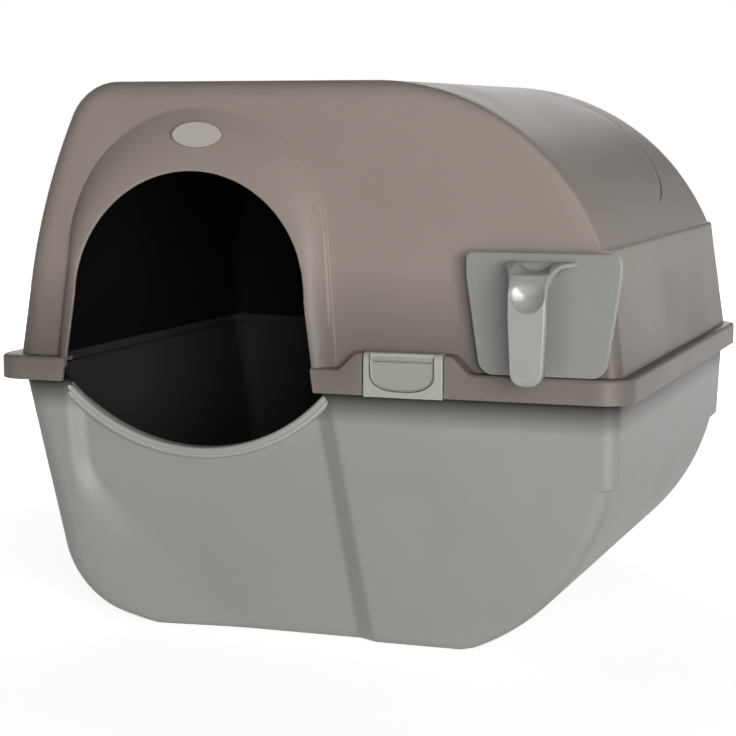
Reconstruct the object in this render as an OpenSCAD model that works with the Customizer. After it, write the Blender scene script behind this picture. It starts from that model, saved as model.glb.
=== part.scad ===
// Front-entry litter box that is rolled over to sift itself into a pull-out waste tray.
// Millimetres. Seen from the front, +X is the right-hand side, +Y the back and +Z up.
// The origin is on the floor, under the middle of the rim.

/* [Overall] */
// Width of the rim, left to right
body_w = 560; // [540:1:580]
// Depth of the rim, front to back
body_d = 516; // [500:1:540]
// Height of the cover's ledge above the floor
ledge_z = 236; // [228:1:244]
// Height of the whole box
total_h = 470; // [462:1:486]
// Wall of the two shells
wall = 3; // [2.5:0.1:3.6]

/* [Rim] */
// Height of the band that goes round the cover's foot
rim_h = 20.5; // [18:0.5:23]
// Corner radius of the band, seen from above
rim_r = 26; // [20:1:32]
// Ledge left outside the cover's left wall
ledge_left = 14; // [13:0.5:17]
// Ledge left outside the cover's right wall
ledge_right = 10; // [9:0.5:13]
// Ledge left outside the cover's front and back walls
ledge_front = 14; // [13:0.5:17]
// Gap between the base's top edge and the cover that rests on it
seat_gap = 0.3; // [0.2:0.05:0.5]

/* [Cover] */
// Lean of the front and back walls, in degrees
front_lean = 5.5; // [4.5:0.1:6.5]
// Lean of the left wall where it starts, in degrees
left_lean = 6.2; // [5:0.1:7]
// Height of the left wall's straight foot
left_foot_h = 63; // [50:1:75]
// Radius of the left wall's long sweep
sweep_r = 530; // [500:5:600]
// Radius of the corner between the left wall and the top
shoulder_r = 46; // [40:1:54]
// Lean of the right wall, in degrees
right_lean = 7.7; // [7:0.1:8.4]
// Height of the right wall, ledge to crease
crease_h = 101; // [94:1:108]
// Step inwards at the crease
crease_step = 5; // [3:0.5:7]
// Radius of the barrel that the box rolls on
barrel_r = 216; // [208:1:224]
// Radius of the front and back top edges
top_edge_r = 18; // [14:1:22]
// Corner radius of the cover's left corners, seen from above
left_corner_r = 20; // [16:1:24]
// Corner radius of the cover's right corners, seen from above
right_corner_r = 12; // [9:1:16]

/* [Base] */
// How far the tub's right wall stands in from the rim
tub_in_right = 12; // [11:0.5:14]
// How far the tub's left wall stands in from the rim
tub_in_left = 18.5; // [17:0.5:21]
// How far the tub's front and back walls stand in from the rim
tub_in_front = 14; // [13:0.5:16]
// Lean of the tub's front and back walls, in degrees
tub_lean = 5.95; // [5:0.05:7]
// Lean of the tub's left wall, in degrees
tub_left_lean = 10.3; // [9:0.1:11.5]
// Radius of the tub's lower left corner
tub_left_r = 80; // [70:1:90]
// Height of the shallow ramp at the tub's lower left
ramp_h = 8; // [6:0.5:10]
// Slope of that ramp, in degrees
ramp_a = 15; // [13:0.5:18]
// Lean of the tub's right wall, in degrees
tub_right_lean = 2; // [1.5:0.1:2.5]
// Height of the step on the tub's right side
tub_step_z = 143; // [136:1:150]
// Depth of that step
tub_step = 5.3; // [4:0.1:6.5]
// Radius of the barrel on the tub's right side
tub_barrel_r = 199; // [194:1:206]
// Height of that barrel's axis
tub_barrel_z = 186; // [181:1:190]
// Radius of the tub's bottom edges, front and back
bottom_edge_r = 8; // [6:0.5:10]
// Depth of the panel set back under the entrance
panel_depth = 9; // [6:0.5:11]

/* [Entrance] */
// Middle of the entrance, from the middle of the rim
entrance_x = -98; // [-104:1:-92]
// Radius of the entrance arch
arch_r = 104.5; // [100:0.5:108]
// Height of the arch's centre above the ledge
arch_rise = 54.6; // [50:0.2:58]
// Half width of the entrance at the band's underside
door_half = 115; // [112:0.5:118]
// Lowest point of the entrance above the floor
sill_z = 161; // [154:1:168]
// Width of the rolled lip under the entrance
lip_w = 9.5; // [8:0.5:11]
// How far the lip reaches through the wall, front to back
lip_d = 12; // [10:0.5:14]
// Width of the hood above the arch
hood_brow = 55; // [48:1:60]
// Radius of the hood's round top
hood_r = 118; // [115:0.5:121]
// How far the hood stands out from the front wall
hood_out = 14; // [12:0.5:16]
// Length of the blank badge
badge_len = 44; // [36:1:50]
// Thickness of the badge
badge_t = 1.6; // [1.2:0.1:2.4]

/* [Clips] */
// Width of a clip
clip_w = 67.2; // [60:0.2:74]
// Height of a clip
clip_h = 36.5; // [34:0.5:38]
// Thickness of a clip's face plate
clip_t = 5.5; // [4.5:0.1:6]
// How far a clip stands out of the rim band
clip_out = 1.5; // [1:0.1:2]
// Height of the hump that the band makes round a clip
hump_h = 14.3; // [13:0.1:16]
// Diameter of a hinge pin
pin_d = 3; // [2.6:0.1:3.4]
// Running clearance round a hinge pin, on the radius
pin_gap = 0.06; // [0.04:0.01:0.08]
// Middle of the front clip, from the middle of the rim
clip_front_x = 94; // [88:1:100]
// Distance of each rear clip from the middle of the rim
clip_rear_x = 150; // [140:1:160]

/* [Waste tray] */
// Middle of the tray's front plate, in from the rim's right side
plate_in = 71; // [68:0.5:74]
// Height of the front plate
plate_h = 97.5; // [94:0.5:100]
// Width of the front plate at its top
plate_w = 125.5; // [120:0.5:128]
// Width of the front plate at its foot
plate_foot_w = 102; // [98:0.5:106]
// Thickness of the front plate
plate_t = 4; // [3:0.5:5]
// Width of the trough
tray_w = 72; // [68:1:74]
// Height of the trough's right wall
tray_h = 72; // [66:1:76]
// How much lower the trough's left wall is
tray_drop = 16; // [10:1:22]
// Length of the trough's left wall that stays full height at each end
tray_end = 20; // [10:1:40]
// Length of the trough behind the plate
tray_len = 462; // [440:1:468]
// Wall of the trough
tray_wall = 2; // [1.6:0.1:2.4]
// Gap round the trough where it passes through the cover
tray_gap = 1.5; // [1:0.1:2]
// Width of the handle
handle_w = 30; // [26:1:34]
// Width of the handle's root on the plate
handle_root_w = 56; // [50:1:60]
// How far the handle stands out from the plate
handle_out = 46; // [40:1:52]
// Wall of the handle
handle_wall = 3; // [2.5:0.1:4]

/* [Sifting screen] */
// Thickness of the screen
screen_t = 3; // [2.5:0.1:3.5]
// How far the screen bows outwards
screen_bow = 14; // [8:1:20]
// Width of a slot
slot_w = 14; // [10:0.5:16]
// Width of a bar between two slots
slot_bar = 8; // [6:0.5:10]
// Diameter of the countersunk screws
screw_d = 4; // [3.6:0.1:4.4]

/* [Hidden] */
$fn = 48;
taupe = "#8b8279";
grey = "#8c8d86";
pale = "#9fa59e";
far = 600;
eps = 0.01;
// Steps in each rounded corner of a shell, seen from above
corner_steps = 4;
// Steps in a small rounded corner and in the sides of the handle's root
small_steps = 6;
root_steps = 8;
// Steps in the barrel and in the tub's lower left corner
barrel_steps = 13;
tub_steps = 8;
// Height over which a crease's step is drawn
step_rise = 2;

// Heights that the two shells share
rim_z = ledge_z - rim_h;
flange_z = rim_z + 1.5;
flange_t = 3;
flange_in = wall + 0.5;
base_top = ledge_z - 8;
seat_z = base_top + seat_gap;
band_edge_r = 3;

// The cover's outline from the front: straight foot, long sweep and shoulder on the left
crease_z = ledge_z + crease_h;
left_foot = ledge_left - body_w / 2;
right_foot = body_w / 2 - ledge_right;
half_foot = body_d / 2 - ledge_front;
barrel_z = total_h - barrel_r;
right_crease = right_foot - crease_h * tan(right_lean);
barrel_x = right_crease - crease_step - sqrt(sq(barrel_r) - sq(crease_z - barrel_z));
sweep_x = left_foot + left_foot_h * tan(left_lean) + sweep_r * cos(left_lean);
sweep_z = ledge_z + left_foot_h - sweep_r * sin(left_lean);
shoulder_z = total_h - shoulder_r;
shoulder_sin = (shoulder_z - sweep_z) / (sweep_r - shoulder_r);
shoulder_x = sweep_x - (sweep_r - shoulder_r) * sqrt(1 - sq(shoulder_sin));
top_edge_z = total_h - top_edge_r;
top_edge_y = half_foot - (top_edge_z - ledge_z) * tan(front_lean) - top_edge_r / cos(front_lean);

// The tub's outline from the front: leaning wall, corner and ramp on the left, barrel on the right
tub_left = tub_in_left - body_w / 2;
tub_right = body_w / 2 - tub_in_right;
tub_half = body_d / 2 - tub_in_front;
tub_corner_z = ramp_h + tub_left_r * cos(ramp_a);
tub_corner_x = tub_left + (rim_z - tub_corner_z + tub_left_r * sin(tub_left_lean)) * tan(tub_left_lean)
    + tub_left_r * cos(tub_left_lean);
tub_barrel_x = tub_right - (rim_z - tub_step_z) * tan(tub_right_lean) - tub_step
    - sqrt(sq(tub_barrel_r) - sq(tub_barrel_z - tub_step_z));
bottom_edge_y = tub_half - (rim_z - bottom_edge_r) * tan(tub_lean) - bottom_edge_r / cos(tub_lean);

// Entrance
arch_z = ledge_z + arch_rise;
door_cut = 40;
lip_in = 8;
pilaster_top = 45;
pilaster_foot = 12;
crease_top_x = entrance_x + door_half + 7;
crease_foot_x = crease_top_x + 33;
sill_half = door_half + 2;
sill_chord_z = rim_z - 3.5;
sill_r = (sq(sill_half) + sq(sill_chord_z - sill_z)) / (2 * (sill_chord_z - sill_z));
hood_top_z = arch_z + arch_r + hood_brow;
hood_foot_half = door_half + 13;
hood_edge = 6;
hood_step = hood_out * 0.6;
badge_w = badge_len * 0.48;
badge_x = entrance_x + 5;
badge_up = hood_top_z - ledge_z - hood_brow / 2 + 2;

// Clips, measured inwards from the band's outer face
pin_r = pin_d / 2;
pin_in = 6.5;
pin_z = rim_z + 4;
clip_z = rim_z - 1;
clip_barrel_r = 4;
clip_play = 0.5;
notch_in = pin_in + clip_barrel_r + 0.7;
lug_w = 6;
lug_play = 0.4;
lug_front = wall + 0.4;
lug_back = ledge_front + 1;
pin_half = clip_w / 2 + lug_play + lug_w;
hump_top_half = clip_w / 2 + 7.5;
hump_foot_half = hump_top_half + 14;
pad_half = clip_w / 2 - 7.5;
pad_depth = 2;
pad_foot = 8;
pad_side_z = 14;
pad_r = (sq(pad_half) + sq(pad_side_z)) / (2 * pad_side_z);

// Waste tray
plate_x = body_w / 2 - plate_in;
plate_z = ledge_z + 0.6;
plate_y = -(body_d / 2 - 1);
plate_back = plate_y + plate_t;
plate_side_h = 18;
plate_foot_r = 12;
plate_top_r = 5;
tray_x = plate_x - 8;
tray_z = ledge_z + 10;
tray_top = tray_z + tray_h;
rail_gap = 0.3;
rail_t = 2.5;
rail_foot_w = 10;
rail_top = tray_z - rail_gap;
rail_leg_in = tray_w / 2 + 2;
rail_left_h = 20;
seat_block_l = 16;
seat_block_h = 8;
seat_block_half = 7;
seat_block_in = wall;
handle_x = plate_x - 1;
handle_top = plate_z + 91;
handle_foot = plate_z - 3;
handle_bend = 30;
handle_rim = 2;
// Grip and root of the handle, from the side
grip_t = 18;
grip_foot_t = 16;
grip_foot_h = 6;
grip_edge = 4;
root_h = 22;
root_web = 8;

// Screen and its screws
screw_r = screw_d / 2;
screw_len = 10;
screw_head_r = 3.8;
screw_head_h = 2;
screw_gap = 0.2;
boss_half = 8;
screen_screw_y = 150;
screen_top_x = tray_x - 242;
screen_top_z = total_h - wall - 11.5;
flange_w = 26;
screen_foot_x = tray_x + rail_leg_in + rail_t + screen_t / 2;
screen_foot_z = tray_top + 16;
screen_strip_h = 20;
lower_screw_z = tray_top + 5;
slot_rows = 4;
slot_row_bar = 12;
slot_edge = 16;

function sq(v) = v * v;
function half_round(r, v) = sqrt(max(0, sq(r) - sq(v)));

// The cover's left, right and front-to-back half sizes at a height, set in by w
function cover_left(z, w) =
    z < sweep_z + (sweep_r - w) * sin(left_lean)
    ? left_foot + w / cos(left_lean) + (z - ledge_z) * tan(left_lean)
    : z < sweep_z + (sweep_r - w) * shoulder_sin
    ? sweep_x - half_round(sweep_r - w, z - sweep_z)
    : shoulder_x - half_round(shoulder_r - w, z - shoulder_z);
function cover_right(z, w) =
    z <= crease_z
    ? right_foot - w / cos(right_lean) - (z - ledge_z) * tan(right_lean)
    : barrel_x + half_round(barrel_r - w, z - barrel_z);
function cover_half(z, w) =
    z < top_edge_z + (top_edge_r - w) * sin(front_lean)
    ? half_foot - w / cos(front_lean) - (z - ledge_z) * tan(front_lean)
    : top_edge_y + half_round(top_edge_r - w, z - top_edge_z);

// The same three sizes of the tub
function tub_ramp_z(w) = tub_corner_z - (tub_left_r - w) * cos(ramp_a);
function tub_left_at(z, w) =
    z > tub_corner_z - (tub_left_r - w) * sin(tub_left_lean)
    ? tub_left + w / cos(tub_left_lean) + (rim_z - z) * tan(tub_left_lean)
    : z > tub_ramp_z(w)
    ? tub_corner_x - half_round(tub_left_r - w, tub_corner_z - z)
    : tub_corner_x - (tub_left_r - w) * sin(ramp_a) + (tub_ramp_z(w) - z) / tan(ramp_a);
function tub_right_at(z, w) =
    z > tub_step_z
    ? tub_right - w / cos(tub_right_lean) - (rim_z - z) * tan(tub_right_lean)
    : tub_barrel_x + half_round(tub_barrel_r - w, z - tub_barrel_z);
function tub_half_at(z, w) =
    z > bottom_edge_r - (bottom_edge_r - w) * sin(tub_lean)
    ? tub_half - w / cos(tub_lean) - (rim_z - z) * tan(tub_lean)
    : bottom_edge_y + half_round(bottom_edge_r - w, bottom_edge_r - z);

// A level ring of points: a rectangle with round corners
function ring(left, right, half, rl, rr, z) = [
    for (c = [[right - rr, rr - half, rr, -90], [right - rr, half - rr, rr, 0],
            [left + rl, half - rl, rl, 90], [left + rl, rl - half, rl, 180]])
        for (i = [0:corner_steps])
            let (a = c[3] + 90 * i / corner_steps)
                [c[0] + c[2] * cos(a), c[1] + c[2] * sin(a), z]];
function cover_ring(z, w) = ring(cover_left(z, w), cover_right(z, w), cover_half(z, w),
    left_corner_r - w, right_corner_r - w, z);
function tub_ring(z, w) = ring(tub_left_at(z, w), tub_right_at(z, w), tub_half_at(z, w),
    left_corner_r - w, right_corner_r - w, z);
function band_ring(in, z) = ring(in - body_w / 2, body_w / 2 - in, body_d / 2 - in,
    rim_r - in, rim_r - in, z);

// Heights at which the shells are drawn, from the bottom up
function barrel_levels(w) =
    let (first = asin((crease_z + step_rise - barrel_z) / (barrel_r - w)))
        [for (i = [0:barrel_steps]) barrel_z + (barrel_r - w) * sin(first + (90 - first) * i / barrel_steps)];
function cover_levels(w) = concat(
    [ledge_z, ledge_z + left_foot_h, (ledge_z + left_foot_h + crease_z) / 2, crease_z],
    barrel_levels(w));
function tub_levels(w) = concat(
    [w, w + (tub_ramp_z(w) - w) / 3, w + (tub_ramp_z(w) - w) * 2 / 3],
    [for (i = [0:tub_steps])
        let (a = 90 - ramp_a - (90 - ramp_a - tub_left_lean) * i / tub_steps)
            tub_corner_z - (tub_left_r - w) * sin(a)],
    [for (i = [1:3]) tub_corner_z + (tub_step_z - tub_corner_z) * i / 3],
    [tub_step_z + step_rise, (tub_step_z + flange_z) / 2, flange_z]);
function backwards(list) = [for (i = [len(list) - 1:-1:0]) list[i]];

// A closed solid through rings that all have the same number of points
module loft(rings) {
    n = len(rings[0]);
    m = len(rings);
    sides = [for (j = [0:m - 2]) for (i = [0:n - 1])
        let (a = j * n + i, b = j * n + (i + 1) % n)
            each [[a, a + n, b], [b, a + n, b + n]]];
    polyhedron(
        points = [for (r = rings) each r],
        faces = concat([[for (i = [0:n - 1]) i]], sides, [[for (i = [n - 1:-1:0]) (m - 1) * n + i]]));
}

// Draws a front-view outline (x, height) as a block between two depths
module front_block(y0, y1) {
    translate([0, y1, 0]) rotate([90, 0, 0]) linear_extrude(y1 - y0) children();
}
// The same on a leaning face that passes through y at height z, from depth d0 in to d1 out
module face_block(y, z, lean, d0, d1) {
    translate([0, y, z]) rotate([90 + lean, 0, 0]) translate([0, 0, -d0]) linear_extrude(d0 + d1) children();
}
// Draws a side-view outline (y, height) as a block between two x values
module side_block(x0, x1) {
    translate([x0, 0, 0]) rotate([90, 0, 90]) linear_extrude(x1 - x0) children();
}
// Puts a clip's parts on the rim: their +Y points into the box from the band's outer face
module on_rim(side) {
    if (side == "front") translate([clip_front_x, -body_d / 2, 0]) children();
    if (side == "left") translate([-body_w / 2, 0, 0]) rotate([0, 0, -90]) children();
    if (side == "rear_left") translate([-clip_rear_x, body_d / 2, 0]) rotate([0, 0, 180]) children();
    if (side == "rear_right") translate([clip_rear_x, body_d / 2, 0]) rotate([0, 0, 180]) children();
}
SIDES = ["front", "left", "rear_left", "rear_right"];

module block(x0, x1, y0, y1, z0, z1) {
    translate([x0, y0, z0]) cube([x1 - x0, y1 - y0, z1 - z0]);
}
module x_rod(r, x0, x1) {
    translate([x0, 0, 0]) rotate([0, 90, 0]) cylinder(r = r, h = x1 - x0);
}

// Outlines of the entrance, seen from the front
module arch_outline() {
    translate([entrance_x, 0]) {
        translate([0, arch_z]) circle(arch_r, $fn = 96);
        polygon([[-arch_r, arch_z], [-door_half, rim_z - 1], [door_half, rim_z - 1], [arch_r, arch_z]]);
    }
}
module sill_outline(grow) {
    intersection() {
        translate([entrance_x, sill_z + sill_r]) circle(sill_r + grow, $fn = 128);
        translate([entrance_x - sill_half, 0]) square([2 * sill_half, rim_z]);
    }
}
module hood_outline() {
    translate([entrance_x, hood_top_z - ledge_z - hood_r]) circle(hood_r, $fn = 96);
    polygon([[entrance_x - hood_r, hood_top_z - ledge_z - hood_r], [entrance_x - hood_foot_half, 0],
        [entrance_x + hood_foot_half, 0], [entrance_x + hood_r, hood_top_z - ledge_z - hood_r]]);
}
module hood_front_outline() {
    translate([entrance_x, hood_top_z - ledge_z - hood_r]) circle(hood_r - hood_edge, $fn = 96);
    polygon([[entrance_x - hood_r + hood_edge, hood_top_z - ledge_z - hood_r],
        [entrance_x - hood_foot_half + hood_edge, 0], [entrance_x + hood_foot_half - hood_edge, 0],
        [entrance_x + hood_r - hood_edge, hood_top_z - ledge_z - hood_r]]);
}
// The panel that is set back in the tub's front wall, measured up the wall from the band's foot:
// it follows the tub's left side, leaves a round pilaster there, and ends at a slanting crease
module panel_outline(grow) {
    lean = cos(tub_lean);
    side = [for (z = backwards(tub_levels(0))) if (z < rim_z)
        [tub_left_at(z, 0) + pilaster_foot + (pilaster_top - pilaster_foot) * z / rim_z - grow,
            (z - rim_z) / lean]];
    polygon(concat([[side[0][0], grow]], side, [[side[len(side) - 1][0], -far / 2],
        [crease_foot_x + grow, -far / 2], [crease_foot_x + grow, -rim_z / lean],
        [crease_top_x + grow, grow]]));
}
// The tub's front from the side, up to its top edge
module front_profile() {
    polygon(concat([for (z = tub_levels(0)) if (z <= flange_z) [-tub_half_at(z, 0), z]],
        [[-tub_half, base_top], [0, base_top], [0, 0]]));
}

module clip_lugs() {
    for (s = [-1, 1])
        translate([s * (clip_w / 2 + lug_play + lug_w / 2), 0, 0])
            block(-lug_w / 2, lug_w / 2, lug_front, lug_back, rim_z + 0.4, flange_z + flange_t + 4.5);
}

module base_tub() {
    color(grey) difference() {
        union() {
            loft(concat(
                [for (z = tub_levels(0)) tub_ring(z, 0)],
                [band_ring(flange_in, flange_z), band_ring(flange_in, flange_z + flange_t)],
                [for (z = [flange_z + flange_t, base_top]) cover_ring(z, 0)],
                [for (z = [base_top, flange_z + flange_t]) cover_ring(z, wall)],
                [for (z = backwards(tub_levels(wall))) tub_ring(z, wall)]));
            intersection() {
                face_block(-tub_half, rim_z, tub_lean, panel_depth + wall, -0.5) panel_outline(wall);
                side_block(-far, far) front_profile();
            }
            for (side = SIDES) on_rim(side) clip_lugs();
        }
        face_block(-tub_half, rim_z, tub_lean, panel_depth, far / 10) panel_outline(0);
        front_block(-far, -tub_half + door_cut) sill_outline(0);
        block(entrance_x - door_half, entrance_x + door_half, -far, -tub_half + door_cut, sill_chord_z, far);
        for (side = SIDES) on_rim(side) {
            block(-clip_w / 2 - lug_play, clip_w / 2 + lug_play, -far / 10, notch_in + 1,
                rim_z - 1, flange_z + flange_t + eps);
            translate([0, pin_in, pin_z]) x_rod(pin_r, -far / 10, far / 10);
        }
    }
    color(grey) front_block(-tub_half + lip_in, -tub_half + lip_in + lip_d) difference() {
        sill_outline(lip_w);
        sill_outline(0);
    }
}

module cover_shell() {
    outer = backwards([for (z = cover_levels(0)) cover_ring(z, 0)]);
    band = [band_ring(band_edge_r, ledge_z), band_ring(band_edge_r * 0.3, ledge_z - band_edge_r * 0.3),
        band_ring(0, ledge_z - band_edge_r), band_ring(0, rim_z), band_ring(wall, rim_z),
        band_ring(wall, ledge_z - wall)];
    seat = [cover_ring(ledge_z - wall, 0), cover_ring(seat_z, 0), cover_ring(seat_z, wall)];
    color(taupe) difference() {
        union() {
            loft(backwards(concat(outer, band, seat, [for (z = cover_levels(wall)) cover_ring(z, wall)])));
            face_block(-half_foot, ledge_z, -front_lean, wall, hood_step) hood_outline();
            face_block(-half_foot, ledge_z, -front_lean, wall, hood_out) hood_front_outline();
            for (side = SIDES) on_rim(side)
                front_block(0, lug_back) polygon([
                    [-hump_foot_half, ledge_z - wall], [-hump_foot_half, ledge_z],
                    [-hump_top_half, ledge_z + hump_h], [hump_top_half, ledge_z + hump_h],
                    [hump_foot_half, ledge_z], [hump_foot_half, ledge_z - wall]]);
            rail_seats();
            screen_bosses();
        }
        front_block(-far, -half_foot + door_cut) arch_outline();
        block(tray_x - tray_w / 2 - tray_gap, tray_x + tray_w / 2 + tray_gap, -far, -half_foot + door_cut,
            tray_z - tray_gap, tray_top + tray_gap);
        for (side = SIDES) on_rim(side)
            block(-clip_w / 2 - clip_play, clip_w / 2 + clip_play, -far / 10, notch_in, 0, far);
        for (x = [rail_x(-1), rail_x(1)]) for (s = [-1, 1])
            translate([x, s * rail_screw_y, rail_top - screw_len - 1])
                cylinder(r = screw_r, h = screw_len + 2);
        for (s = [-1, 1])
            translate([screen_top_x, s * screen_screw_y, screen_top_z])
                cylinder(r = screw_r, h = screw_len - screen_t);
    }
}

// The rails' ends lie on these blocks on the inside of the front and back walls
rail_y = cover_half(rail_top + rail_left_h, wall) - rail_gap;
rail_screw_y = rail_y - seat_block_l / 2;
function rail_x(s) = tray_x + s * (tray_w / 2 - rail_foot_w / 2 + 1);
module rail_seats() {
    for (x = [rail_x(-1), rail_x(1)]) for (s = [-1, 1])
        translate([x, 0, rail_top - rail_t - seat_block_h]) mirror([0, s < 0 ? 1 : 0, 0])
            block(-seat_block_half, seat_block_half, rail_y - seat_block_l, rail_y + seat_block_in,
                0, seat_block_h);
}
module screen_bosses() {
    for (s = [-1, 1])
        translate([screen_top_x, s * screen_screw_y, 0])
            block(-boss_half, boss_half, -boss_half, boss_half, screen_top_z, total_h - wall / 2);
}

// One rail: s is -1 for the left one and 1 for the right one
module tray_rail(s, leg_top) {
    leg = tray_x + s * (rail_leg_in + rail_t / 2);
    foot = tray_x + s * (rail_leg_in - rail_foot_w / 2 + rail_t / 2);
    difference() {
        union() {
            block(leg - rail_t / 2, leg + rail_t / 2, -rail_y, rail_y, rail_top - rail_t, leg_top);
            block(foot - rail_foot_w / 2, foot + rail_foot_w / 2, -rail_y, rail_y,
                rail_top - rail_t, rail_top);
        }
        for (e = [-1, 1]) translate([rail_x(s), e * rail_screw_y, rail_top]) screw_hole();
    }
}
module tray_rail_left() {
    color(pale) tray_rail(-1, rail_top + rail_left_h);
}
module tray_rail_right() {
    color(pale) difference() {
        intersection() {
            tray_rail(1, screen_foot_z - 3);
            cover_wedge(rail_gap);
        }
        for (e = [-1, 1]) lower_screw(e) screw_hole();
    }
}

// A countersunk screw that points down, with its head flush at z = 0, and its hole
module screw() {
    translate([0, 0, -screw_len]) cylinder(r = screw_r, h = screw_len);
    translate([0, 0, -screw_head_h]) cylinder(r1 = screw_r, r2 = screw_head_r, h = screw_head_h);
}
module screw_hole() {
    translate([0, 0, -screw_len - 1]) cylinder(r = screw_r + screw_gap, h = screw_len + 2);
    translate([0, 0, -screw_head_h - screw_gap / 2])
        cylinder(r1 = screw_r, r2 = screw_head_r + screw_gap, h = screw_head_h + screw_gap);
}
module lower_screw(e) {
    translate([screen_foot_x + screen_t / 2, e * screen_screw_y, lower_screw_z])
        rotate([0, 90, 0]) children();
}
module upper_screw(e) {
    translate([screen_top_x, e * screen_screw_y, screen_top_z - screen_t]) rotate([180, 0, 0]) children();
}
module mounting_screws() {
    color("silver") {
        for (s = [-1, 1]) for (e = [-1, 1]) translate([rail_x(s), e * rail_screw_y, rail_top]) screw();
        for (e = [-1, 1]) upper_screw(e) screw();
        for (e = [-1, 1]) lower_screw(e) screw();
    }
}

// The space between the leaning front and back walls, set in by a gap
module cover_wedge(gap) {
    side_block(-far, far) polygon([
        [-cover_half(ledge_z, wall) + gap, ledge_z], [cover_half(ledge_z, wall) - gap, ledge_z],
        [cover_half(screen_top_z, wall) - gap, screen_top_z],
        [-cover_half(screen_top_z, wall) + gap, screen_top_z]]);
}

// The screen bows over the chord between its top and its foot
screen_a = [screen_top_x + flange_w / 2, screen_top_z - screen_t / 2];
screen_b = [screen_foot_x, screen_foot_z];
screen_chord = norm(screen_b - screen_a);
screen_r = sq(screen_chord) / (8 * screen_bow) + screen_bow / 2;
screen_half_a = asin(screen_chord / 2 / screen_r);
screen_tilt = atan2(screen_b[1] - screen_a[1], screen_b[0] - screen_a[0]);
screen_steps = 16;
function screen_arc(r) = [for (i = [0:screen_steps])
    let (a = 90 + screen_half_a - 2 * screen_half_a * i / screen_steps)
        [screen_chord / 2 + r * cos(a), r * sin(a) - screen_r * cos(screen_half_a)]];
module sifting_screen() {
    slot_len = (screen_chord - 2 * slot_edge - (slot_rows - 1) * slot_row_bar) / slot_rows;
    pitch = slot_w + slot_bar;
    room = cover_half(screen_top_z, wall) - 2 * slot_bar;
    count = floor((2 * room + slot_bar) / pitch);
    first = -((count - 1) * pitch) / 2;
    color(grey) difference() {
        intersection() {
            union() {
                front_block(-far / 2, far / 2) translate(screen_a) rotate(screen_tilt) polygon(
                    concat(screen_arc(screen_r + screen_t / 2), backwards(screen_arc(screen_r - screen_t / 2))));
                block(screen_top_x - flange_w / 2, screen_a[0] + 1, -far / 2, far / 2,
                    screen_top_z - screen_t, screen_top_z);
                block(screen_foot_x - screen_t / 2, screen_foot_x + screen_t / 2, -far / 2, far / 2,
                    screen_foot_z - screen_strip_h, screen_foot_z + 1);
            }
            cover_wedge(rail_gap);
        }
        translate([screen_a[0], 0, screen_a[1]]) rotate([0, -screen_tilt, 0])
            for (i = [0:count - 1]) for (j = [0:slot_rows - 1])
                translate([slot_edge + j * (slot_len + slot_row_bar), first + i * pitch, 0])
                    block(0, slot_len, -slot_w / 2, slot_w / 2, -screen_t * 2, screen_bow + screen_t * 2);
        for (e = [-1, 1]) upper_screw(e) screw_hole();
        for (e = [-1, 1]) lower_screw(e) screw_hole();
    }
}

module waste_tray() {
    x0 = tray_x - tray_w / 2;
    x1 = tray_x + tray_w / 2;
    color(pale) difference() {
        block(x0, x1, plate_back, plate_back + tray_len, tray_z, tray_top);
        block(x0 + tray_wall, x1 - tray_wall, plate_back + tray_wall, plate_back + tray_len - tray_wall,
            tray_z + tray_wall, far);
        block(x0 - eps, x0 + tray_wall + eps, plate_back + tray_wall + tray_end,
            plate_back + tray_len - tray_wall - tray_end,
            tray_top - tray_drop, far);
    }
}

// A convex outline with a round corner at each [x, z, radius]
function corner_points(p, q, s) =
    let (u = (q - p) / norm(q - p), v = (s - q) / norm(s - q), turn = atan2(u[0] * v[1] - u[1] * v[0], u * v))
        [u, v, turn];
function round_corner(p, q, s, r) =
    let (c = corner_points(p, q, s), n = [-c[0][1], c[0][0]], back = r * tan(c[2] / 2),
        centre = q - c[0] * back + n * r)
        [for (i = [0:small_steps]) let (a = c[2] * i / small_steps)
            centre - [n[0] * cos(a) - n[1] * sin(a), n[0] * sin(a) + n[1] * cos(a)] * r];
function round_outline(pts) = [for (i = [0:len(pts) - 1])
    let (p = pts[(i + len(pts) - 1) % len(pts)], q = pts[i], s = pts[(i + 1) % len(pts)])
        each round_corner([p[0], p[1]], [q[0], q[1]], [s[0], s[1]], q[2])];

module tray_front_plate() {
    color(pale) front_block(plate_y, plate_back) translate([plate_x, plate_z]) polygon(round_outline([
        [-plate_foot_w / 2 + 2, 0, plate_foot_r], [plate_foot_w / 2 - 2, 0, plate_foot_r],
        [plate_w / 2, plate_h - plate_side_h, plate_foot_r], [plate_w / 2, plate_h, plate_top_r],
        [-plate_w / 2, plate_h, plate_top_r], [-plate_w / 2, plate_h - plate_side_h, plate_foot_r]]));
}

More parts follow.
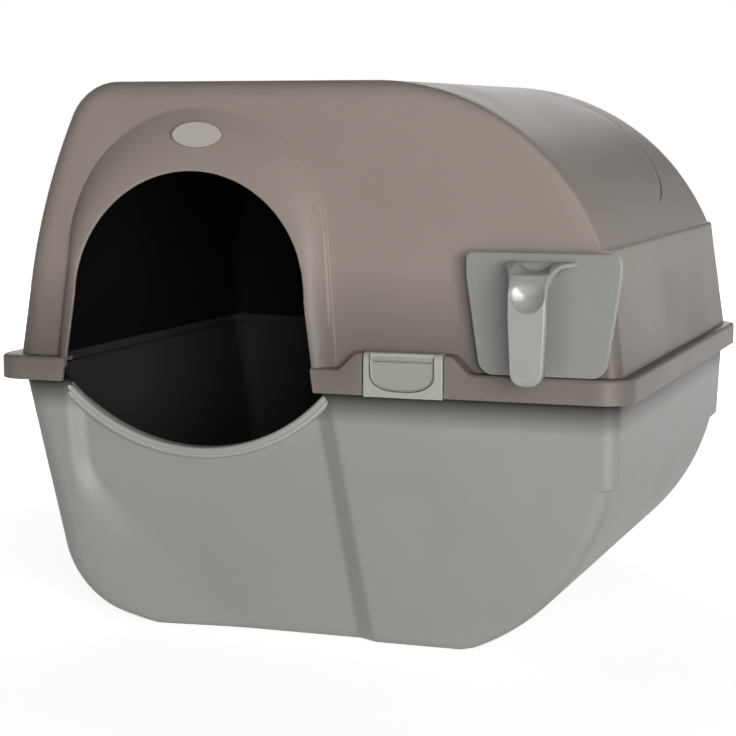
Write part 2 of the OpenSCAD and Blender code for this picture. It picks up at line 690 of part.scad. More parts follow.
// The handle's side view: out from the plate, over a bend and straight down to a round end
bend_steps = 10;
bend_y = handle_out - handle_bend;
bend_z = handle_top - handle_bend;
function handle_line(in) = concat(
    [[0, handle_top - in]],
    [for (i = [0:bend_steps])
        let (a = 90 - 90 * i / bend_steps, r = handle_bend - in)
            [bend_y + r * cos(a), bend_z + r * sin(a)]]);
function placed(points) = [for (p = points) [plate_y - p[0], p[1]]];
function handle_side() = placed(concat(
    handle_line(0),
    [[handle_out, handle_foot + grip_foot_h], [handle_out - grip_edge, handle_foot],
        [handle_out - grip_foot_t + grip_edge, handle_foot], [handle_out - grip_foot_t, handle_foot + grip_foot_h],
        [handle_out - grip_t, bend_z], [root_web, handle_top - root_h], [0, handle_top - root_h]]));
function handle_core() = placed(concat(
    handle_line(handle_wall),
    [[handle_out - handle_wall, handle_foot + grip_foot_h],
        [handle_out - grip_foot_t - handle_wall, handle_foot + grip_foot_h],
        [handle_out - grip_t - handle_wall, bend_z], [root_web - handle_rim, handle_top - root_h - grip_edge],
        [-eps, handle_top - root_h - grip_edge], [-eps, handle_top - handle_wall]]));
// The handle's front view: a wide root that narrows to the grip
function handle_half(t) = handle_w / 2 + (handle_root_w - handle_w) / 2 * t * t * (3 - 2 * t);
function handle_front(s) = [for (i = [0:root_steps])
    [s * handle_half(i / root_steps), bend_z + handle_bend * i / root_steps + eps]];
module tray_handle() {
    color(pale) intersection() {
        difference() {
            side_block(handle_x - handle_root_w / 2, handle_x + handle_root_w / 2) polygon(handle_side());
            side_block(handle_x - handle_w / 2 + handle_wall, handle_x + handle_w / 2 - handle_wall)
                polygon(handle_core());
            side_block(handle_x + handle_w / 2, handle_x + far) polygon(handle_core());
            side_block(handle_x - far, handle_x - handle_w / 2) polygon(handle_core());
        }
        front_block(-far, plate_y) translate([handle_x, 0]) polygon(concat(
            [[-handle_w / 2, 0], [handle_w / 2, 0]], handle_front(1), backwards(handle_front(-1))));
    }
}

module badge_plate() {
    color("#a9a49c") face_block(-half_foot, ledge_z, -front_lean, -hood_out, hood_out + badge_t)
        translate([badge_x, badge_up])
            polygon([for (i = [0:35]) [badge_len / 2 * cos(10 * i), badge_w / 2 * sin(10 * i)]]);
}

module clip(side) {
    color(pale) on_rim(side) difference() {
        union() {
            block(-clip_w / 2, clip_w / 2, -clip_out, clip_t - clip_out, clip_z, clip_z + clip_h);
            block(-clip_w / 2, clip_w / 2, -clip_out, notch_in - 1.2, clip_z + clip_h - 3, clip_z + clip_h);
            block(-clip_w / 2, clip_w / 2, 0, pin_in, pin_z - clip_barrel_r, pin_z + clip_barrel_r);
            translate([0, pin_in, pin_z]) x_rod(clip_barrel_r, -clip_w / 2, clip_w / 2);
        }
        front_block(-far / 10, pad_depth - clip_out) intersection() {
            translate([0, clip_z + pad_foot + pad_r]) circle(pad_r, $fn = 96);
            translate([-pad_half, 0]) square([2 * pad_half, clip_z + clip_h - 3]);
        }
        translate([0, pin_in, pin_z]) x_rod(pin_r + pin_gap, -far / 10, far / 10);
    }
}
module clip_hinge_pins() {
    color("silver") for (side = SIDES) on_rim(side)
        translate([0, pin_in, pin_z]) x_rod(pin_r, -pin_half, pin_half);
}

base_tub();
cover_shell();
sifting_screen();
tray_rail_left();
tray_rail_right();
mounting_screws();
waste_tray();
tray_front_plate();
tray_handle();
badge_plate();
clip("front");  // clip_front
clip("left");  // clip_left
clip("rear_left");  // clip_rear_left
clip("rear_right");  // clip_rear_right
clip_hinge_pins();
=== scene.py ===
"""Front-entry litter box that is rolled over to sift itself: the looks of every piece.

Sizes are in millimetres until a mesh is made, and the mesh is in metres. Seen from the front, +X is
the right-hand side, +Y the back and +Z up.
"""

import logging
import math
from dataclasses import dataclass
from enum import Enum
from functools import cache
from typing import Callable, Sequence

import bmesh
import bpy
import numpy as np
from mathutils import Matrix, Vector


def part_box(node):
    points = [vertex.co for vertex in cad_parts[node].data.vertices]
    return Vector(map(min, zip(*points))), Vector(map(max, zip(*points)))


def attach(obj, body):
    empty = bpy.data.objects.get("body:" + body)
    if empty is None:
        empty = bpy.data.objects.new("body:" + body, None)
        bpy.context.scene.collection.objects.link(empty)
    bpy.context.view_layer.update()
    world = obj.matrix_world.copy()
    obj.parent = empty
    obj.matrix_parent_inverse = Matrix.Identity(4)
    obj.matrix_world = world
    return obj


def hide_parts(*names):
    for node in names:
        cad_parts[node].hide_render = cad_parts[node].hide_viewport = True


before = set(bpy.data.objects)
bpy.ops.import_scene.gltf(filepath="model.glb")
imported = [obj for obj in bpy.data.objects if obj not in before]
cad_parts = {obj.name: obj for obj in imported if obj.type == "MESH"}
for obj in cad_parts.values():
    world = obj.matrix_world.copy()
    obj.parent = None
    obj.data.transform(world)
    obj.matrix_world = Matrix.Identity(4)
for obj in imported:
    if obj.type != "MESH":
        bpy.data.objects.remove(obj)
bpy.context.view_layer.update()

MM = 0.001
PAST = 30.0  # how far a cutter reaches past what it cuts, in millimetres
QUARTER = (0.0, 22.5, 45.0, 67.5, 90.0)  # angles of a rounded corner
WHITE = (1.0, 1.0, 1.0, 1.0)
BLACK = (0.0, 0.0, 0.0, 1.0)
BAND_H = 20.5  # height of the band, from its lower edge to the ledge, in millimetres
BACK_DISC = 60.0  # radius of the half disc that closes a shell's back, in millimetres
log = logging.getLogger("litter_box")
Points = np.ndarray


class Slot(Enum):
    """The record's material slots."""

    TAUPE = "taupe_plastic"
    GREY = "grey_plastic"
    PALE = "pale_plastic"
    SCREEN = "screen_plastic"
    BADGE = "badge_plastic"
    STEEL = "steel"


class Ends(Enum):
    """Which end rows of a grid are filled."""

    NONE = "none"
    LAST = "last"
    BOTH = "both"


class Side(Enum):
    """The places of the four clips on the rim."""

    FRONT = "clip_front"
    LEFT = "clip_left"
    REAR_LEFT = "clip_rear_left"
    REAR_RIGHT = "clip_rear_right"


def node_box(name: str) -> tuple[Points, Points]:
    """A CAD node's lowest and highest corners.

    Args:
        name: The node's name.

    Returns:
        The two corners, in millimetres.
    """
    low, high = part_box(name)
    return np.array(low) / MM, np.array(high) / MM


def smooth_step(t: Points | float) -> Points | float:
    """Rises smoothly from 0 to 1 as t goes from 0 to 1."""
    t = np.clip(t, 0.0, 1.0)
    return t * t * (3.0 - 2.0 * t)


def tan_deg(angle: float) -> float:
    """Tangent of an angle in degrees."""
    return math.tan(math.radians(angle))


def sin_deg(angle: float) -> float:
    """Sine of an angle in degrees."""
    return math.sin(math.radians(angle))


def cos_deg(angle: float) -> float:
    """Cosine of an angle in degrees."""
    return math.cos(math.radians(angle))


def around(centre: Sequence[float], radius: float, angle: float) -> tuple[float, float]:
    """A point on a circle, at an angle in degrees."""
    return centre[0] + radius * cos_deg(angle), centre[1] + radius * sin_deg(angle)


class Modeller:
    """The hand tools: they add, shape, cut and join meshes."""

    @staticmethod
    def deselect() -> None:
        """Leaves edit mode and deselects every object."""
        if bpy.context.object and bpy.context.object.mode != "OBJECT":
            bpy.ops.object.mode_set(mode="OBJECT")
        bpy.ops.object.select_all(action="DESELECT")

    @classmethod
    def choose(cls, piece: bpy.types.Object) -> None:
        """Makes one object the selected and active one.

        Args:
            piece: The object.
        """
        cls.deselect()
        piece.select_set(True)
        bpy.context.view_layer.objects.active = piece

    @classmethod
    def box(cls, name: str, low: Sequence[float], high: Sequence[float]) -> bpy.types.Object:
        """Adds a box.

        Args:
            name: The new object's name.
            low: Its lowest corner, in millimetres.
            high: Its highest corner, in millimetres.

        Returns:
            The box, with its place in its mesh.
        """
        cls.deselect()
        low_m, high_m = Vector(low) * MM, Vector(high) * MM
        bpy.ops.mesh.primitive_cube_add(size=1.0, location=(low_m + high_m) / 2)
        piece = bpy.context.object
        piece.name = name
        piece.scale = high_m - low_m
        bpy.ops.object.transform_apply(location=True, rotation=True, scale=True)
        return piece

    @classmethod
    def disc(cls, name: str, centre: Sequence[float], radius: float, sides: int) -> bpy.types.Object:
        """Adds a filled circle that faces the front.

        Args:
            name: The new object's name.
            centre: Its centre, in millimetres.
            radius: Its radius, in millimetres.
            sides: Its number of sides.

        Returns:
            The circle, with its place in its mesh.
        """
        cls.deselect()
        bpy.ops.mesh.primitive_circle_add(
            vertices=sides, radius=radius * MM, fill_type="NGON", location=Vector(centre) * MM,
            rotation=(math.pi / 2, 0.0, 0.0))
        piece = bpy.context.object
        piece.name = name
        bpy.ops.object.transform_apply(location=True, rotation=True, scale=True)
        return piece

    @classmethod
    def rod(cls, name: str, centre: Sequence[float], radius: float, length: float) -> bpy.types.Object:
        """Adds a round rod along X.

        Args:
            name: The new object's name.
            centre: Its centre, in millimetres.
            radius: Its radius, in millimetres.
            length: Its length, in millimetres.

        Returns:
            The rod, with its place in its mesh.
        """
        cls.deselect()
        bpy.ops.mesh.primitive_cylinder_add(
            vertices=48, radius=radius * MM, depth=length * MM, location=Vector(centre) * MM,
            rotation=(0.0, math.pi / 2, 0.0))
        piece = bpy.context.object
        piece.name = name
        bpy.ops.object.transform_apply(location=True, rotation=True, scale=True)
        return piece

    @classmethod
    def select(cls, piece: bpy.types.Object, kind: str, test: Callable[[object], bool]) -> int:
        """Goes into edit mode and selects the parts that pass a test.

        Args:
            piece: The object.
            kind: VERT, EDGE or FACE.
            test: Takes a vertex, an edge or a face, with places in metres.

        Returns:
            How many were selected.
        """
        if bpy.context.object is not piece or piece.mode != "EDIT":
            cls.choose(piece)
            bpy.ops.object.mode_set(mode="EDIT")
        bpy.ops.mesh.select_mode(type=kind)
        bpy.ops.mesh.select_all(action="DESELECT")
        mesh = bmesh.from_edit_mesh(piece.data)
        parts = {"VERT": mesh.verts, "EDGE": mesh.edges, "FACE": mesh.faces}[kind]
        found = [part for part in parts if test(part)]
        for part in found:
            part.select_set(True)
        mesh.select_flush_mode()
        bmesh.update_edit_mesh(piece.data)
        return len(found)

    @classmethod
    def bevel(cls, piece: bpy.types.Object, width: float, segments: int,
              test: Callable[[object], bool]) -> None:
        """Rounds the edges that pass a test.

        Args:
            piece: The object.
            width: The bevel's width, in millimetres.
            segments: Its number of segments.
            test: Takes an edge, with places in metres.
        """
        if cls.select(piece, "EDGE", test):
            bpy.ops.mesh.bevel(offset=width * MM, segments=segments, affect="EDGES", profile=0.5)
        bpy.ops.object.mode_set(mode="OBJECT")

    @classmethod
    def modify(cls, piece: bpy.types.Object, kind: str, **settings: object) -> None:
        """Adds a modifier and applies it.

        Args:
            piece: The object.
            kind: The modifier's type.
            settings: Its settings.
        """
        cls.choose(piece)
        modifier = piece.modifiers.new(kind.title(), kind)
        for key, value in settings.items():
            setattr(modifier, key, value)
        bpy.ops.object.modifier_apply(modifier=modifier.name)

    @classmethod
    def combine(cls, piece: bpy.types.Object, tool: bpy.types.Object, operation: str) -> None:
        """Unites, cuts or intersects a piece with a tool, and removes the tool.

        Args:
            piece: The piece that is kept.
            tool: The object that is used up.
            operation: UNION, DIFFERENCE or INTERSECT.
        """
        cls.modify(piece, "BOOLEAN", object=tool, operation=operation, solver="MANIFOLD")
        bpy.data.objects.remove(tool)

    @classmethod
    def outward(cls, piece: bpy.types.Object) -> bpy.types.Object:
        """Turns every face of a closed piece outward.

        Args:
            piece: The object.

        Returns:
            The same object.
        """
        cls.select(piece, "FACE", lambda face: True)
        bpy.ops.mesh.normals_make_consistent(inside=False)
        bpy.ops.object.mode_set(mode="OBJECT")
        return piece

    @classmethod
    def margin(cls, piece: bpy.types.Object, width: float, test: Callable[[object], bool]) -> None:
        """Insets the faces that pass a test twice, so that the lighter colour of scuffed edges, which also
        paints a highlight, stays near their edges.

        Args:
            piece: The object.
            width: The width of each inset, in millimetres.
            test: Takes a face, with places in metres.
        """
        if cls.select(piece, "FACE", test):
            for _ in range(2):
                bpy.ops.mesh.inset(thickness=width * MM, depth=0.0)
        bpy.ops.object.mode_set(mode="OBJECT")

    @classmethod
    def join(cls, piece: bpy.types.Object, others: Sequence[bpy.types.Object]) -> None:
        """Joins other objects to a piece as they are.

        Args:
            piece: The piece that is kept.
            others: The objects that are used up.
        """
        cls.choose(piece)
        for other in others:
            other.select_set(True)
        bpy.ops.object.join()

    @classmethod
    def shade(cls, piece: bpy.types.Object, angle: float) -> None:
        """Shades smooth, with edges sharper than an angle left hard.

        Args:
            piece: The object.
            angle: The angle, in degrees.
        """
        cls.choose(piece)
        bpy.ops.object.shade_smooth_by_angle(angle=math.radians(angle))

    @staticmethod
    def mesh(name: str, points: Points, faces: Sequence[Sequence[int]]) -> bpy.types.Object:
        """Makes an object from points and faces.

        Args:
            name: The new object's name.
            points: Rows of x, y and z, in millimetres.
            faces: The faces' corners.

        Returns:
            The object.
        """
        data = bpy.data.meshes.new(name)
        data.from_pydata((np.asarray(points) * MM).tolist(), [], [list(f) for f in faces])
        data.update()
        piece = bpy.data.objects.new(name, data)
        bpy.context.scene.collection.objects.link(piece)
        return piece

    @classmethod
    def grid(cls, name: str, rows: Points, ends: Ends, closed: bool = False,
             flip: bool = False) -> bpy.types.Object:
        """Makes a sheet or a tube from rows of points.

        Args:
            name: The new object's name.
            rows: Points by row and column, in millimetres.
            ends: Which end rows are filled.
            closed: Whether the last column joins the first.
            flip: Whether the faces are turned over.

        Returns:
            The object.
        """
        count, width = rows.shape[:2]
        faces = []
        for i in range(count - 1):
            for j in range(width if closed else width - 1):
                k = (j + 1) % width
                face = (i * width + j, i * width + k, (i + 1) * width + k, (i + 1) * width + j)
                faces.append(face[::-1] if flip else face)
        first = list(range(width))
        last = [(count - 1) * width + j for j in range(width)]
        if ends is Ends.BOTH:
            faces.append(first if flip else first[::-1])
        if ends is not Ends.NONE:
            faces.append(last[::-1] if flip else last)
        return cls.mesh(name, rows.reshape(-1, 3), faces)


class Profile:
    """An outline seen from the front, with its inside normals, marks and edge radii."""

    def __init__(self, start: tuple[float, float]) -> None:
        """Starts an outline at a point (x, z)."""
        self.points: list[tuple[float, float]] = [start]
        self.marks: dict[str, int] = {}

    def line(self, x: float, z: float, steps: int) -> "Profile":
        """Adds a straight stretch to a point, in even steps."""
        x0, z0 = self.points[-1]
        for i in range(1, steps + 1):
            self.points.append((x0 + (x - x0) * i / steps, z0 + (z - z0) * i / steps))
        return self

    def arc(self, centre: tuple[float, float], radius: float, first: float, last: float,
            steps: int) -> "Profile":
        """Adds an arc about a centre, from one angle to another in degrees."""
        for i in range(1, steps + 1):
            a = first + (last - first) * i / steps
            self.points.append(around(centre, radius, a))
        return self

    def mark(self, name: str) -> "Profile":
        """Names the last point."""
        self.marks[name] = len(self.points) - 1
        return self

    def spread(self, keys: dict[int, float]) -> Points:
        """Values for every point, straight between the given ones.

        Args:
            keys: Some points' numbers and their values.

        Returns:
            A value for each point.
        """
        spots = sorted(keys)
        return np.interp(np.arange(len(self.points)), spots, [keys[spot] for spot in spots])

    def step_out(self, step: float) -> Points:
        """How far each point stands out past the crease: a quarter ellipse, then level.

        Args:
            step: How far the wall stands out.

        Returns:
            A distance for each point.
        """
        push = np.zeros(len(self.points))
        crease, wall = self.marks["crease"], self.marks["wall"]
        share = np.arange(wall - crease + 1) / (wall - crease)
        push[crease:wall + 1] = step * np.sqrt(1.0 - (1.0 - share) ** 2)
        push[wall:] = step
        return push

    def array(self) -> Points:
        """The outline as rows of x and z."""
        return np.array(self.points)

    def normals(self, inside: tuple[float, float], even: tuple[str, str]) -> Points:
        """Unit normals that point away from an inside point.

        Args:
            inside: A point (x, z) inside the outline.
            even: Two marks; between them the normals turn evenly.

        Returns:
            Rows of x and z.
        """
        p = self.array()
        along = np.gradient(p, axis=0)
        n = np.stack([along[:, 1], -along[:, 0]], 1)
        away = p - np.array(inside)
        n *= np.sign((n * away).sum(1).mean())
        first, last = self.marks[even[0]] - 1, self.marks[even[1]] + 1
        n /= np.linalg.norm(n, axis=1)[:, None]
        share = np.linspace(0.0, 1.0, last - first + 1)[:, None]
        n[first:last + 1] = n[first] * (1 - share) + n[last] * share
        return n / np.linalg.norm(n, axis=1)[:, None]


@dataclass
class EndFace:
    """A leaning plane that closes a shell at its front or back."""

    half: float
    z: float
    lean: float
    outward: float

    def normal(self) -> Points:
        """The plane's outward normal. A positive lean faces up."""
        return np.array([0.0, self.outward * cos_deg(self.lean), sin_deg(self.lean)])

    def depth(self, z: Points) -> Points:
        """The plane's y at a height."""
        return self.outward * (self.half - (z - self.z) * tan_deg(self.lean))

    def fillet(self, outline: Points, normals: Points, radii: Points, steps: int) -> list[Points]:
        """Rows of points that round the edge between this plane and the outline's walls.

        Args:
            outline: Rows of x and z.
            normals: The walls' outward normals.
            radii: The edge radius at each point.
            steps: Number of steps in the rounding.

        Returns:
            Rows from the plane's edge to the walls.
        """
        face = self.normal()
        wall = np.stack([normals[:, 0], np.zeros(len(normals)), normals[:, 1]], 1)
        foot = np.array([0.0, self.outward * self.half, self.z])
        base = np.stack([outline[:, 0], np.zeros(len(outline)), outline[:, 1]], 1) - wall * radii[:, None]
        base[:, 1] = (-radii - (base - foot) @ face) / face[1]
        turn = np.arccos(np.clip(wall @ face, -1.0, 1.0))
        rows = []
        for i in range(steps + 1):
            t = i / steps
            near = np.sin((1 - t) * turn) / np.sin(turn)
            far = np.sin(t * turn) / np.sin(turn)
            rows.append(base + radii[:, None] * (face * near[:, None] + wall * far[:, None]))
        return rows


def coat_shell(piece: bpy.types.Object, finish: "Finish", inner: "Finish", wall: float) -> None:
    """Gives a sheet its thickness, with one finish outside and another inside.

    Args:
        piece: The sheet.
        finish: The outer finish.
        inner: The inner finish.
        wall: The thickness, in millimetres.
    """
    piece.data.materials.append(finish.material())
    piece.data.materials.append(inner.material())
    Modeller.modify(piece, "SOLIDIFY", thickness=wall * MM, offset=-1.0, material_offset=1)


def rows_between(first: Points, last: Points, steps: int) -> list[Points]:
    """Even rows between two rows, without the first one.

    Args:
        first: The first row.
        last: The last row.
        steps: Number of steps.

    Returns:
        The rows after the first one.
    """
    return [first + (last - first) * i / steps for i in range(1, steps + 1)]


def back_rows(edge: Points, plane: EndFace, centre: tuple[float, float], reach: float,
              steps: int) -> list[Points]:
    """Rows that close a shell's back, from its edge to a small half disc at the open side.

    Args:
        edge: The plane's edge row.
        plane: The back plane.
        centre: The half disc's centre (x, z).
        reach: Its radius; below 0 it hangs down.
        steps: Number of rows.

    Returns:
        The rows after the edge.
    """
    a = np.linspace(math.pi, 0.0, len(edge))
    x = centre[0] + abs(reach) * np.cos(a)
    z = centre[1] + reach * np.sin(a)
    return rows_between(edge, np.stack([x, plane.depth(z), z], 1), steps)


def stepped_rows(face: list[Points], walls: list[Points], end: list[Points], push: Points) -> Points:
    """Joins a shell's rows, with the columns past its crease pushed out.

    Args:
        face: The front face's rows; the push grows over them.
        walls: The rows over the edges and the sides, pushed in full.
        end: The rows that close the back; the push fades over them.
        push: How far each column stands out.

    Returns:
        All rows in one array.
    """
    weights = [(i / len(face)) ** 3 for i in range(len(face))] + [1.0] * len(walls)
    weights += [1.0 - (i + 1) / len(end) for i in range(len(end))]
    rows = np.array(face + walls + end)
    rows[:, :, 0] += np.array(weights)[:, None] * push
    return rows


@dataclass
class Rim:
    """The band round the cover's foot, and where the clips stand on it."""

    width: float
    depth: float
    under_z: float
    ledge_z: float
    corner: float = 26.0
    edge: float = 3.0
    wall: float = 3.0
    ledge_left: float = 14.0
    ledge_right: float = 10.0
    ledge_front: float = 14.0
    hump_h: float = 14.3
    hump_top_half: float = 41.1
    hump_foot_half: float = 55.1

    def clip_place(self, side: Side) -> tuple[float, float, float]:
        """Where a clip's middle meets the band's outer face.

        Args:
            side: The clip.

        Returns:
            x, y and the turn about Z in degrees.
        """
        low, high = node_box(side.value)
        mid = (low + high) / 2
        if side is Side.FRONT:
            return mid[0], -self.depth / 2, 0.0
        if side is Side.LEFT:
            return -self.width / 2, mid[1], -90.0
        return mid[0], self.depth / 2, 180.0

    def clip_half(self, side: Side) -> float:
        """Half a clip's width along the rim."""
        low, high = node_box(side.value)
        return (high - low)[1 if side is Side.LEFT else 0] / 2

    def clip_block(self, name: str, side: Side, along: tuple[float, float], inward: tuple[float, float],
                   height: tuple[float, float]) -> bpy.types.Object:
        """Adds a box at a clip.

        Args:
            name: The box's name.
            side: The clip.
            along: Where it starts and ends along the rim, from the clip's middle.
            inward: Where it starts and ends inward, from the band's outer face.
            height: Its lowest and highest z.

        Returns:
            The box.
        """
        x, y, _ = self.clip_place(side)
        if side is Side.LEFT:
            low, high = (x + inward[0], y + along[0]), (x + inward[1], y + along[1])
        else:
            facing = 1 if side is Side.FRONT else -1
            near, far = sorted((y + facing * inward[0], y + facing * inward[1]))
            low, high = (x + along[0], near), (x + along[1], far)
        return Modeller.box(name, (*low, height[0]), (*high, height[1]))

    def hump(self, x: float, y: float) -> float:
        """Height of the hump above the ledge at a point of the band's outer face.

        Args:
            x: The point's x.
            y: The point's y.

        Returns:
            The height, in millimetres.
        """
        best = 0.0
        for side in Side:
            px, py, turn = self.clip_place(side)
            across, away = (y - py, x - px) if turn == -90.0 else (x - px, y - py)
            if abs(away) > self.edge:
                continue
            slope = self.hump_foot_half - self.hump_top_half
            spread = [np.clip((self.hump_foot_half - abs(across + d)) / slope, 0.0, 1.0)
                      for d in (-2.0, -1.0, 0.0, 1.0, 2.0)]
            best = max(best, self.hump_h * float(np.mean(spread)))
        return best


class RimPath:
    """The way round the box from the entrance's right side to its left side."""

    STEPS = {"front_right": 70, "corner": 8, "right": 100, "back": 130, "left": 110, "front_left": 14}

    def __init__(self, start: float, stop: float) -> None:
        """Lays out the spots along the path.

        Args:
            start: x of the entrance's right side.
            stop: x of the entrance's left side.
        """
        self.start = start
        self.stop = stop
        order = ("front_right", "corner", "right", "corner", "back", "corner", "left", "corner", "front_left")
        self.spots = []
        for part, name in enumerate(order):
            steps = self.STEPS[name]
            self.spots += [(part, i / steps) for i in range(0 if part == 0 else 1, steps + 1)]

    def point(self, spot: tuple[int, float], left: float, right: float, half: float,
              left_r: float, right_r: float) -> tuple[float, float]:
        """A spot's place on a rectangle with round corners.

        Args:
            spot: The part of the path and the share along it.
            left: x of the left side.
            right: x of the right side.
            half: Half the depth.
            left_r: Radius of the left corners.
            right_r: Radius of the right corners.

        Returns:
            x and y.
        """
        part, t = spot
        lines = {
            0: ((self.start, -half), (right - right_r, -half)),
            2: ((right, right_r - half), (right, half - right_r)),
            4: ((right - right_r, half), (left + left_r, half)),
            6: ((left, half - left_r), (left, left_r - half)),
            8: ((left + left_r, -half), (self.stop, -half)),
        }
        if part in lines:
            (x0, y0), (x1, y1) = lines[part]
            return x0 + (x1 - x0) * t, y0 + (y1 - y0) * t
        centres = {
            1: (right - right_r, right_r - half, right_r, -90.0),
            3: (right - right_r, half - right_r, right_r, 0.0),
            5: (left + left_r, half - left_r, left_r, 90.0),
            7: (left + left_r, left_r - half, left_r, 180.0),
        }
        cx, cy, r, first = centres[part]
        return around((cx, cy), r, first + 90 * t)


@dataclass
class Entrance:
    """The arched doorway, the hood round it and the sill under it."""

    x: float = -98.0
    radius: float = 104.5
    z: float = 290.6
    foot_half: float = 115.0
    foot_z: float = 214.5
    sill_z: float = 161.0
    sill_half: float = 117.0
    sill_chord_z: float = 212.0
    lip_w: float = 9.5
    lip_d: float = 12.0
    lip_in: float = 1.4
    lip_r: float = 3.0
    hood_brow: float = 55.0
    hood_r: float = 118.0
    hood_foot_half: float = 128.0
    hood_out: float = 14.0
    hood_foot_out: float = 11.0
    hood_spread: float = 0.8
    land_h: float = 2.2
    land_w: float = 2.6

    @property
    def sill_r(self) -> float:
        """Radius of the sill's curve."""
        rise = self.sill_chord_z - self.sill_z
        return (self.sill_half ** 2 + rise ** 2) / (2 * rise)

    @property
    def hood_z(self) -> float:
        """Height of the hood's centre."""
        return self.z + self.radius + self.hood_brow - self.hood_r

    def along(self, q: Points, radius: float, z: float, foot_half: float, foot_z: float) -> Points:
        """Points along an arch: 0 to 1 up the left side, 1 to 2 over the top, 2 to 3 down.

        Args:
            q: Places along the arch.
            radius: The round part's radius.
            z: Height of its centre.
            foot_half: Half the width at the foot.
            foot_z: Height of the foot.

        Returns:
            Rows of x and z.
        """
        a = np.radians(180.0 - 180.0 * np.clip(q - 1.0, 0.0, 1.0))
        x = radius * np.cos(a)
        height = z + radius * np.sin(a)
        low = np.clip(np.maximum(1.0 - q, q - 2.0), 0.0, 1.0)
        x += np.sign(x) * (foot_half - radius) * low
        height += (foot_z - z) * low
        return np.stack([self.x + x, height], 1)

    def half_at(self, z: float) -> float:
        """Half the doorway's width on its straight sides at a height."""
        return self.radius + (self.foot_half - self.radius) * (self.z - z) / (self.z - self.foot_z)


